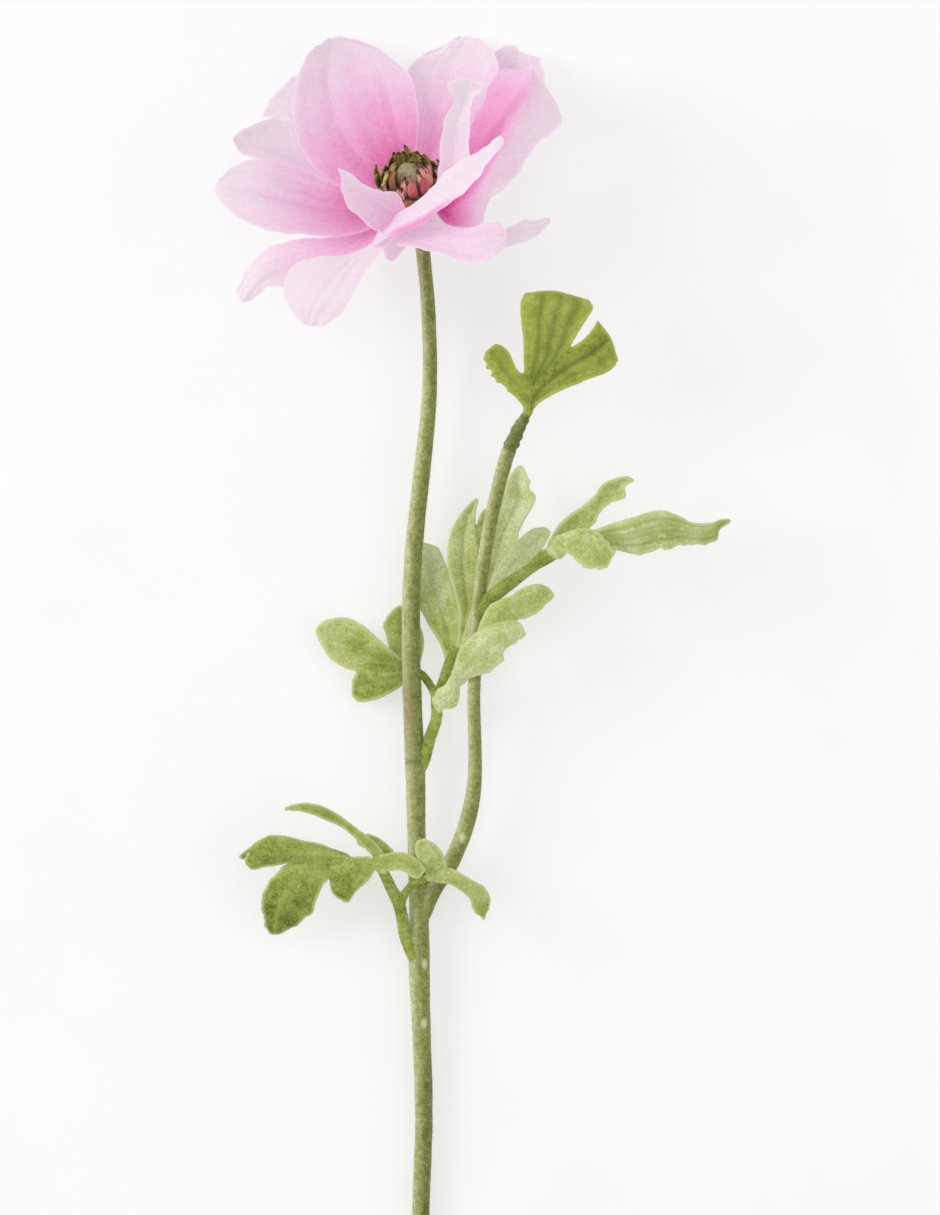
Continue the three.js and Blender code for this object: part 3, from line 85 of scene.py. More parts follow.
# Painted glow: the share of a leaf's or the stalk's brightness that it gives off itself, which lightens its
# shade.
LEAF_GLOW = 0.15
PETIOLE_LOOK = (0.1, 0.44, -1)  # vein, tone from 0, dark, to 1, pale, and streak
FAR_IN = 3.0  # distance to the edge that a surface without an edge is given
# Painted light and shade on the stalk: its tone on the left side, which faces the key light, and on the
# shaded right side.
STALK_LIT_AND_SHADED_TONE = (0.74, 0.29)  # on its left and on its right

# The camera looks straight down. The pixels of its picture are counted from the top left corner.
PICTURE = (940, 1215)
PIXEL = 0.26  # size of a pixel at the focus height
ORIGIN_PIXEL = (472.5, 710)  # the one over the part's origin
PICTURE_MIDDLE = (PICTURE[0] / 2, PICTURE[1] / 2)
CAMERA_OVER = (
    (PICTURE_MIDDLE[0] - ORIGIN_PIXEL[0]) * PIXEL,
    (ORIGIN_PIXEL[1] - PICTURE_MIDDLE[1]) * PIXEL,
)
CAMERA_HEIGHT = 2600
FOCUS_HEIGHT = 20
FRAME_HEIGHT = PICTURE[1] * PIXEL


def seen(across, down, height, origin=(0, 0, 0)):
    """What the camera sees at a pixel, at a height over an origin: its offset from there, to 0.1 mm."""
    nearness = (CAMERA_HEIGHT - FOCUS_HEIGHT) / (CAMERA_HEIGHT - (origin[2] + height))
    x = (across - PICTURE_MIDDLE[0]) * PIXEL / nearness + CAMERA_OVER[0] - origin[0]
    y = (PICTURE_MIDDLE[1] - down) * PIXEL / nearness + CAMERA_OVER[1] - origin[1]
    return [round(float(offset), 1) for offset in (x, y, height)]


BLOOM_CENTRE = np.array(seen(410, 198, 20))
BLOOM_AXIS = np.array([-0.1, 0.71, 0.69]) / np.linalg.norm([-0.1, 0.71, 0.69])
KNOB_RADIUS = 4.2
KNOB_TOP = 3.0
KNOB_UNDERSIDE = ((0, -8), (0.55, -7.4), (0.85, -5.8), (1, -4.6))  # share of its radius, height
ROOT_GAP = 0.35
PETAL_LAYER_STEP = 1.5
OUTER_LAYER = -3.4
ROOT_HALF_WIDTH = 2.2
REST_GAP = 0.02  # least height of a piece over the surface that the spray lies on
LEAF_REST_GAP = 0.05
WEAVE = 0.5  # spacing of the cloth's threads
FLOOR_HALF = 2500
FLOOR_HEIGHT = -0.4

# Lights and sky: places and sizes in metres, power in watts.
LIGHT_AIM = (0, 0.02, 0.02)
LIGHTS = {
    "key_left": {"place": (-1.1, 0.35, 0.75), "size": 0.8, "power": 8.9, "colour": (1.0, 0.99, 0.975)},
    "fill_right": {"place": (1.0, -0.3, 0.9), "size": 1.2, "power": 4.0, "colour": (0.98, 0.99, 1.0)},
    "top": {"place": (0.1, 0.5, 1.6), "size": 1.4, "power": 4.2, "colour": (1.0, 1.0, 1.0)},
}
SKY_COLOUR = (0.99, 0.99, 1.0, 1)
SKY_STRENGTH = 0.57

# Nap: hairs to the square millimetre, and their length.
LEAF_NAP = (3.9, 0.4)
STALK_NAP = (3.3, 0.4)
SEED_HEAD_NAP = (14, 0.35)
HAIR_RADIUS = 0.03  # at its foot
HAIR_LEAN = 0.7  # most that a hair leans each way, in radians

# ---------- routes and outlines ----------
# Places on the spray are given as the camera sees them: a pixel of its picture, across and down,
# and a height in millimetres. seen() works the millimetres out. A route has such places, each with its
# radius.
STALK_ROUTE = [
    (423, 1385, 2.1, 2.25),
    (421, 1300, 2.4, 2.25),
    (421, 1214, 2.9, 2.25),
    (424, 1115, 3.5, 2.3),
    (421, 1015, 4.2, 2.45),
    (419.5, 972, 4.6, 2.75),
    (419, 915, 5.2, 2.6),
    (416.5, 835, 6, 2.4),
    (415, 763, 6.8, 2.6),
    (413, 720, 7.2, 2.5),
    (411, 640, 7.6, 2.45),
    (413, 560, 8, 2.3),
    (421.5, 475, 8.6, 2.2),
    (428, 415, 9, 2),
    (430, 365, 9.3, 1.9),
    (428, 305, 9.5, 1.85),
    (423, 252, 9.8, 1.85),
    (419.5, 232, 11.2, 2.1),
    (415.5, 217, 14, 2.6),
]
COLLAR = {"place": (415, 762, 6.8), "radius": 2.85, "height": 1.6}
BRANCH_ROUTE = [
    (423, 915, 5.4, 2),
    (434, 890, 6.2, 2.1),
    (449, 866, 7.2, 2.2),
    (463, 835, 8.6, 2.1),
    (472, 800, 10.2, 2.05),
    (475, 765, 11.8, 1.8),
    (474, 700, 15, 1.7),
    (476, 650, 17, 1.75),
    (479, 600, 18.6, 1.75),
    (484, 560, 20, 1.75),
    (491, 520, 21.2, 1.8),
    (499, 485, 22.2, 1.85),
    (508, 453, 23.2, 1.9),
    (517, 432, 23.7, 1.75),
    (528, 411, 24, 0.95),
]

# Leaves: each has the routes of its petioles, and lobes. A lobe's net has rows from its root to its tip. A
# row has the pixels of its left edge, its middle and its right edge, as seen with the tip ahead, and its
# middle's height. Cup is how far its left and right edge lie over its middle. Tone runs from root to tip,
# from 0, dark, to 1, pale; it is partly the lobe's own green and partly painted light, paler on lobes that
# the lamps leave in shade. Teeth are (how many, how deep) on each edge, bumps (-1 left or 1 right, share
# along, height, length) and veins (share across, half-width, strength).
LEAF_LOWER = {
    "petioles": [
        [
            (415, 959, 5.6, 1.6), (406, 938, 6.6, 1.6), (400, 908, 9, 1.6), (390, 886, 11, 1.5),
            (381, 869, 12.5, 1.3), (368, 861, 13.5, 0.9),
        ],
        [
            (400.5, 908, 9, 1.2), (404, 896, 10.5, 1.1), (412, 885, 11.6, 1), (424, 879, 12.2, 0.9),
            (437, 877, 12.4, 0.8),
        ],
    ],
    "lobes": {
        "large hanging lobe": {
            "tone": (0.6, 0.05),
            "cup": (-1.2, -1.2),
            "teeth": ((3, 0.4), (5, 0.35)),
            "bumps": [
                (-1, 0.62, 0.5, 1.2), (-1, 0.8, 0.35, 1), (1, 0.5, 0.35, 0.8), (1, 0.72, 0.4, 1),
                (1, 0.86, 0.4, 1),
            ],
            "net": [
                (352, 862, 350, 858, 347, 856, 14), (334, 866, 325, 857, 318, 851, 15.3),
                (329, 876, 314, 867, 300, 859, 15.6), (322, 886, 302, 877, 284, 867, 15.2),
                (317, 897, 294, 888, 272, 880, 14.2), (310, 911, 287, 901, 262, 899, 12.8),
                (300, 922, 281, 914, 264.5, 913, 11), (289, 928, 277, 926, 266.5, 926, 9),
                (281, 932.5, 275, 934, 270, 933, 7.6),
            ],
        },
        "left lobe with a point": {
            "tone": (0.5, 0.25),
            "cup": (-0.9, -1.2),
            "teeth": ((0, 0), (3, 0.2)),
            "net": [
                (352, 862, 352, 859, 350, 856, 14.2), (335, 858, 335, 854, 335, 850.5, 14.6),
                (318, 853, 318, 849, 319, 845, 15), (302, 851, 301, 846.5, 302, 841.5, 15),
                (286, 850, 285, 844, 286, 837, 15), (272, 849, 270, 843, 272, 836.5, 14.6),
                (259, 852, 257, 847, 260, 841, 14), (250, 855.5, 248.5, 851.5, 250, 848, 13.2),
                (242, 859, 240.5, 857.5, 240, 856.5, 12.4),
            ],
        },
        "round lobe in front of it": {
            "tone": (0.5, 0.15),
            "cup": (-0.9, -0.9),
            "teeth": ((3, 0.3), (0, 0)),
            "net": [
                (350, 864, 350, 861, 349, 858, 14.4), (335, 863.5, 335, 859, 335, 854, 15.4),
                (318, 864, 318, 857.5, 318, 851, 16.2), (302, 862, 301, 856, 301, 850, 16.4),
                (288, 862.5, 287, 856, 287, 849, 16.2), (275, 864.5, 274, 857, 274, 848.5, 15.8),
                (262, 867, 261, 858.5, 262, 849, 15.2), (252.5, 868.5, 251, 860.5, 252.5, 851.5, 14.5),
                (246.5, 864.5, 246, 860.5, 247, 856.5, 13.8),
            ],
        },
        "short lobe that hangs": {
            "tone": (0.5, 0.15),
            "cup": (-1, -1),
            "teeth": ((2, 0.25), (2, 0.25)),
            "bumps": [
                (1, 0.55, 0.2, 0.8),
            ],
            "net": [
                (376, 866, 374, 861, 371, 857, 13.4), (373, 872, 364, 863, 354, 857, 14.6),
                (368, 879.5, 354, 869, 338, 860, 15.2), (361, 886, 348, 878, 331, 871, 15.1),
                (355, 892, 344, 887, 330, 884, 14.3), (350.5, 898, 343, 895, 333.5, 893.5, 13.2),
                (348.5, 901, 345.5, 902, 341, 900, 12.4),
            ],
        },
        "long thin lobe": {
            "tone": (0.4, 0.52),
            "cup": (-0.6, -0.6),
            "net": [
                (380, 868, 384, 866, 388, 863, 12), (373, 856, 378, 855, 383, 853, 13),
                (364, 846, 369, 844, 374, 842, 13.6), (354, 836, 357, 833, 361, 832.5, 14.2),
                (342, 827, 344, 823, 347, 821.5, 15), (328, 820.5, 331, 816, 334, 813, 16),
                (314, 814.5, 317, 809.5, 319, 806, 16.8), (301, 810.5, 303, 807.5, 305, 804, 16.8),
                (291, 809.5, 291, 808, 291.5, 806, 16), (285.5, 809.5, 285.5, 808.5, 286, 807.5, 15.4),
            ],
        },
        "small lobe behind": {
            "tone": (0.45, 0.45),
            "cup": (-0.4, -0.8),
            "net": [
                (384, 868, 388, 864, 391, 860, 11.4), (377, 856, 385, 854, 393, 853, 10.6),
                (368, 849, 378, 846, 387, 846, 9.8), (360, 845, 369, 839, 378, 838.5, 9),
                (357, 840, 363, 836, 369, 834, 8.4),
            ],
        },
        "lobe that curls to the right": {
            "tone": (0.5, 0.6),
            "cup": (-0.8, -0.8),
            "net": [
                (376, 858, 376, 864, 377, 869, 13), (388, 854.5, 388, 862, 388, 870, 14.6),
                (401, 853, 401, 861, 400, 869.5, 15.8), (412, 856.5, 410, 865, 408, 873, 16.6),
                (420, 863.5, 417, 869, 413, 876.5, 16.4), (425, 870, 422, 874, 418, 878, 15.6),
            ],
        },
        "right leaflet's upper lobe": {
            "tone": (0.6, 0.6),
            "cup": (-0.7, -0.7),
            "net": [
                (431, 881, 437, 880, 444, 878, 12.4), (426, 872, 436, 871, 446, 869, 13.6),
                (421, 864, 433, 862, 444, 860, 14.8), (417, 855, 429, 852, 441, 852, 15.6),
                (415.5, 847, 424, 844, 434, 844, 16), (417, 841.5, 420.5, 840, 425, 839, 16),
            ],
        },
        "right leaflet's lower lobe": {
            "tone": (0.55, 0.4),
            "cup": (-0.9, -0.7),
            "teeth": ((4, 0.3), (3, 0.3)),
            "bumps": [
                (-1, 0.8, 0.5, 0.9), (-1, 0.93, 0.4, 0.7),
            ],
            "net": [
                (432, 872, 433, 877, 434, 882, 12.4), (447, 868, 447, 875, 447, 883, 14),
                (461, 874.5, 459, 881, 457, 887, 15), (474, 882.5, 470, 888, 465, 893, 15.6),
                (484, 888.5, 478, 894, 470.5, 898.5, 15.6), (489, 897, 482, 901, 473, 906, 15),
                (488, 906, 483, 908, 475, 911.5, 14.2), (485, 914, 483, 915, 480, 915, 13.4),
                (484, 919, 483, 919, 482, 918.5, 13),
            ],
        },
    },
}
LEAF_UPPER = {
    "petioles": [
        [
            (424, 762, 7.4, 1.5), (430, 738, 8.8, 1.6), (436.5, 718, 9.6, 1.5), (436, 697, 9, 1.4),
        ],
        [
            (436, 697, 9, 1.3), (432, 688, 5.6, 1.1), (421, 674, 2.9, 1.1), (400, 666, 2.8, 0.9),
        ],
        [
            (435.5, 702, 9, 1.3), (444, 680, 8.4, 1.5), (450, 664, 8, 1.6), (457, 648, 7.6, 1.6),
        ],
    ],
    "lobes": {
        "left leaflet's large lobe": {
            "tone": (0.42, 0.7),
            "cup": (0.7, 0.9),
            "teeth": ((2, 0.2), (2, 0.2)),
            "bumps": [
                (-1, 0.8, 0.3, 1), (1, 0.85, 0.3, 0.9),
            ],
            "net": [
                (404, 672, 405, 668, 404, 663, 2.9), (394, 673, 396, 664, 397, 655, 3.4),
                (380, 673, 383, 661, 389, 649.5, 4), (365, 671, 370, 654, 378, 640, 4.6),
                (350, 668.5, 357, 648, 366, 629, 5.1), (338, 663.5, 346, 641, 353, 620.5, 5.3),
                (328, 655, 335, 637, 341, 618, 5.2), (323.5, 646, 328, 634, 332, 619.5, 5),
                (318.5, 638, 321, 631, 323, 622.5, 4.7), (316, 632, 317, 629, 318.5, 626, 4.4),
            ],
        },
        "left leaflet's lower lobe": {
            "tone": (0.3, 0.4),
            "cup": (0.4, 0.5),
            "net": [
                (408, 680, 408, 675, 407, 669, 2.9), (400, 686.5, 400, 677, 399, 667, 3.6),
                (390, 692.5, 389, 679, 387, 666, 4.2), (379, 698, 377, 682, 374, 666, 4.7),
                (368, 700.5, 366, 684, 363, 667, 4.8), (358, 701, 357, 686, 356, 674, 4.6),
                (353, 696, 352.5, 689, 353, 682, 4.3),
            ],
        },
        "left leaflet's lobe behind the stalk": {
            "tone": (0.45, 0.45),
            "cup": (0.2, 0.2),
            "net": [
                (403, 674, 409, 673, 414, 671, 2.9), (395, 661, 406, 660, 419, 662, 2.8),
                (390, 647, 405, 647, 423, 648, 2.7), (386, 633, 403, 633, 422, 634, 2.6),
                (384, 624, 401, 622, 417, 622, 2.5), (391, 612, 401, 610, 411, 612, 2.5),
                (397, 607, 401, 606, 405, 607.5, 2.4),
            ],
        },
        "middle leaflet's left lobe": {
            "tone": (0.5, 1.0),
            "cup": (0.4, 0.9),
            "teeth": ((2, 0.3), (0, 0)),
            "veins": [(-0.1, 0.4, 0.4)],
            "net": [
                (446, 660, 451, 658, 456, 655, 7.2), (441, 645, 450, 642, 460, 636, 6.6),
                (431, 628, 446, 624, 461, 618, 5.8), (423, 612, 440, 604, 458, 602, 4.9),
                (414, 595, 434, 588, 454, 590, 4.1), (410, 575, 430, 570, 448.5, 573, 3.5),
                (411, 556, 427, 555, 443, 559, 2.9), (416, 544, 427, 544, 438, 548, 2.5),
            ],
        },
        "middle leaflet's second lobe": {
            "tone": (0.55, 0.8),
            "cup": (1, 0.7),
            "teeth": ((3, 0.25), (0, 0)),
            "veins": [(0, 0.5, 0.25)],
            "net": [
                (458, 652, 461, 650, 465, 646, 7.8), (459, 630, 464, 628, 470, 624, 7.6),
                (460, 610, 467, 608, 475, 605, 7.3), (455, 592, 466, 590, 478, 588, 7),
                (449, 572, 463, 570, 478, 568, 6.6), (448.5, 550, 463, 550, 477, 548, 6.2),
                (453, 529, 464, 531, 475, 533, 5.8), (461, 514, 468, 516, 474.5, 519, 5.4),
                (470, 504, 473, 506, 475.5, 509, 5.1), (475, 499.5, 476.5, 499.5, 478, 501, 5),
            ],
        },
        "middle leaflet's lobe behind the branch": {
            "tone": (0.6, 0.6),
            "cup": (0.2, 0.2),
            "net": [
                (470, 600, 476, 598, 482, 596, 6.6), (472, 570, 479, 568, 487, 566, 6.2),
                (475, 543, 482, 542, 489, 540, 5.9), (478, 526, 483, 526, 489, 524, 5.6),
                (481, 514.5, 484.5, 514, 488, 514, 5.4), (483, 510.5, 485, 509.5, 487.5, 510, 5.3),
            ],
        },
        "middle leaflet's longest lobe": {
            "tone": (0.8, 0.88),
            "cup": (0.8, 0.7),
            "teeth": ((3, 0.3), (4, 0.35)),
            "veins": [(0.1, 0.5, 0.2)],
            "bumps": [
                (1, 0.84, 0.6, 0.9),
            ],
            "net": [
                (462, 646, 466, 644, 470, 642, 7.9), (470, 618, 476, 617, 483, 616, 8.6),
                (476, 592, 486, 590, 496, 590, 9.2), (482, 566, 495, 562, 508, 565, 9.6),
                (489, 540, 501, 540, 513, 546, 9.8), (497, 517, 510, 519, 523, 522, 9.6),
                (503, 498, 518, 500, 534.5, 500, 9.3), (507, 484, 518, 487, 529, 489, 9),
                (512, 474, 518.5, 475, 526.5, 476, 8.6), (517, 467, 520, 466, 523, 467.5, 8.2),
            ],
        },
        "middle leaflet's right lobe": {
            "tone": (0.85, 0.85),
            "cup": (0.8, 0.8),
            "teeth": ((0, 0), (4, 0.3)),
            "net": [
                (466, 642, 470, 640, 474, 640, 8), (478, 612, 484, 612, 490, 614, 9.2),
                (490, 586, 497, 590, 503, 592, 10.2), (501, 564, 508, 572, 514, 578, 11),
                (512, 548.5, 519, 558, 526, 566, 11.7), (523, 536.5, 531, 545, 538, 553, 12.1),
                (534, 529, 540, 536, 545.5, 542.5, 12.2), (544, 527.5, 547.5, 529.5, 550, 533, 12),
            ],
        },
        "front leaflet's long lobe": {
            "tone": (0.84, 0.8),
            "cup": (-1.4, -1.6),
            "teeth": ((2, 0.2), (6, 0.4)),
            "bumps": [
                (1, 0.3, 0.4, 0.8), (1, 0.5, 0.4, 0.8), (1, 0.66, 0.45, 0.8), (1, 0.82, 0.4, 0.8),
            ],
            "net": [
                (434, 701, 436, 704, 440, 708.5, 11), (438, 690, 446, 697, 455, 706, 13.5),
                (445, 685.5, 452, 690, 459, 691, 15.4), (451, 677, 456, 680, 461, 684, 17.2),
                (456, 664, 464, 671, 471, 677, 20), (460, 652, 472, 662, 484, 672.5, 22.6),
                (467, 641.5, 481, 652, 495, 667, 25), (478, 632.5, 490, 643, 502, 660, 26.6),
                (492, 627, 498, 637, 504, 650, 27.2), (505, 623.5, 509, 632, 514, 641, 27.2),
                (516, 622, 520, 628, 521.5, 638, 26.6), (521, 625.5, 524, 631, 525.5, 634, 26),
            ],
        },
        "front leaflet's upper lobe": {
            "tone": (0.6, 0.62),
            "cup": (-1, -1),
            "teeth": ((0, 0), (4, 0.35)),
            "net": [
                (478, 632, 486, 636, 494, 640, 24), (483, 619, 495, 622, 512, 628, 25.4),
                (490, 606, 503, 611, 516, 620, 26.4), (501, 600, 511, 607, 520, 619, 27),
                (511, 596, 519, 604, 528, 617, 27.3), (521, 590, 528, 600, 537, 612.5, 27.3),
                (531, 586, 537, 595, 544, 605, 27), (541, 585.5, 545, 591, 550.5, 600, 26.4),
                (549, 588, 551.5, 591.5, 554, 596, 25.6),
            ],
        },
    },
}
LEAF_SIDE = {
    "petioles": [
        [
            (481, 609, 18.8, 1.7), (493, 596, 20.2, 1.9), (510, 583, 21, 1.8), (531, 568, 22, 1.45),
            (547, 556, 23, 2.1), (563, 549, 23.6, 1.4),
        ],
    ],
    "lobes": {
        "upper lobe": {
            "tone": (0.55, 0.58),
            "cup": (0.6, 0.6),
            "teeth": ((3, 0.25), (3, 0.35)),
            "veins": [(0.1, 0.5, 0.2)],
            "net": [
                (546, 552, 551, 552, 556, 551, 23.4), (552, 537, 562, 537, 573, 538, 23.6),
                (560, 524, 572, 526, 584, 531, 23.4), (571, 514.5, 582, 518, 594, 522.5, 23),
                (583, 506, 591, 510, 600.5, 511.5, 22.8), (593, 498, 601, 501, 610, 503, 22.8),
                (600, 489, 610, 493, 619.5, 499, 23), (606, 483, 615, 487, 625, 495.5, 23.4),
                (614, 479.5, 618.5, 483.5, 623.5, 488, 23.8), (623, 477.5, 625, 480, 627, 483.5, 24.1),
                (631, 478, 632, 479, 633, 480.5, 24.3),
            ],
        },
        "long lobe": {
            "tone": (0.75, 0.68),
            "cup": (-1.3, -1.5),
            "teeth": ((3, 0.2), (9, 0.35)),
            "veins": [(-0.55, 0.3, 0.9), (-0.2, 0.25, 0.7), (0.12, 0.3, 0.9), (0.5, 0.3, 0.8)],
            "bumps": [
                (1, 0.35, 0.6, 0.7), (1, 0.5, 0.5, 0.6), (1, 0.62, 0.6, 0.6), (1, 0.74, 0.6, 0.6),
            ],
            "net": [
                (560, 541, 561, 546, 562, 551, 23.8), (578, 534, 580, 541, 582, 549, 25),
                (595, 530.5, 598, 540, 600, 549, 25.8), (610, 525, 613, 538, 616, 550, 26.4),
                (624, 521, 628, 537, 631, 552.5, 26.8), (638, 516.5, 642, 534, 646, 552.5, 26.8),
                (651, 512, 655, 530, 659, 547.5, 26.6), (664, 511.5, 667, 529, 669, 548, 26.2),
                (677, 516.5, 680, 529, 683, 543.5, 25.6), (690, 523, 693, 532, 696, 544, 25),
                (703, 524, 706, 532, 709, 542, 24.4), (713, 523.5, 714.5, 529, 716.5, 539.5, 23.8),
                (721, 520, 720.5, 523.5, 719, 530, 23.4), (729.5, 519.5, 730, 521, 729, 523.5, 23),
            ],
        },
        "lobe that hangs to the front": {
            "tone": (0.7, 0.6),
            "cup": (-0.9, -1.1),
            "teeth": ((3, 0.35), (4, 0.35)),
            "bumps": [
                (-1, 0.75, 0.6, 0.6), (-1, 0.93, 0.7, 0.6), (1, 0.6, 0.6, 0.6), (1, 0.88, 0.7, 0.6),
            ],
            "net": [
                (556, 537, 554, 541, 552, 545, 24.8), (568, 533, 565, 541, 562, 550, 27.4),
                (582, 529.5, 577, 542, 571, 555, 29.4), (594, 531, 588, 545, 580, 562.5, 30.8),
                (603, 538.5, 597, 552, 588, 567, 31.4), (610.5, 549, 605, 558, 598, 567.5, 31.2),
                (613.5, 553, 610, 560, 607, 567, 30.6),
            ],
        },
        "small lobe at the base": {
            "tone": (0.65, 0.65),
            "cup": (-0.4, -0.4),
            "net": [
                (556, 540, 552, 541, 548, 543, 24.4), (562, 547, 556.5, 549, 551, 550, 25.6),
                (565, 553, 560, 555, 555, 556, 26), (562, 557, 560, 558, 557, 557.5, 25.4),
            ],
        },
    },
}
LEAF_TOP = {
    "petioles": [
        [
            (528, 412, 24, 1.25), (530, 400, 24.6, 1.3), (534, 386, 25, 1.2),
        ],
    ],
    "lobes": {
        "middle lobe, a wedge cut off square": {
            "tone": (0.4, 0.46),
            "cup": (0.3, 0.3),
            "veins": [(-0.38, 0.8, 0.75), (0.12, 1, 0.8), (0.58, 0.9, 0.7)],
            "net": [
                (527, 409, 529.5, 408, 532, 407, 24.5), (524, 392, 531, 391, 540, 390, 25.2),
                (525, 376, 537, 374, 552, 369, 26), (524.5, 359, 545, 356, 566, 352, 26.6),
                (524, 340, 548, 336, 574, 338, 27), (522, 318, 552, 315, 585, 320, 27),
                (521.5, 303, 556, 301, 592, 308, 26.6), (525.5, 294, 555, 292, 588, 300, 26.2),
            ],
        },
        "right lobe": {
            "tone": (0.36, 0.36),
            "cup": (0.3, 0.3),
            "teeth": ((0, 0), (4, 0.2)),
            "veins": [(-0.1, 0.9, 0.85), (0.5, 0.5, 0.3)],
            "net": [
                (528, 405, 530, 407, 532, 410, 24.5), (535, 388, 538, 393, 541, 400.5, 25.4),
                (551, 370, 555, 378, 561, 390, 26.2), (569, 351, 576, 364, 582, 381, 27),
                (583, 341, 591, 356, 598, 375, 27.3), (592, 331, 603, 346, 611, 369, 27),
                (598, 321.5, 610, 339, 617, 360, 26.5),
            ],
        },
        "left lobe with blunt teeth": {
            "tone": (0.38, 0.42),
            "cup": (0.3, 0.3),
            "teeth": ((6, 0.5), (0, 0)),
            "veins": [(0.1, 0.7, 0.4)],
            "bumps": [
                (-1, 0.5, 0.5, 0.6), (-1, 0.66, 0.7, 0.6), (-1, 0.8, 0.75, 0.6), (-1, 0.93, 0.7, 0.6),
            ],
            "net": [
                (526, 409, 528, 406, 530, 403, 24.5), (519, 400, 524, 393, 530, 386, 25.3),
                (510, 391.5, 517, 384, 525, 376.5, 26), (502, 383, 509, 375, 517, 371, 26.6),
                (495, 377.5, 503, 368, 512, 360.5, 27), (492, 370, 499, 361, 508, 352.5, 27),
                (487, 363, 494, 356, 502, 346.5, 26.7), (485.5, 353, 490, 349, 496, 344.5, 26.4),
            ],
        },
    },
}

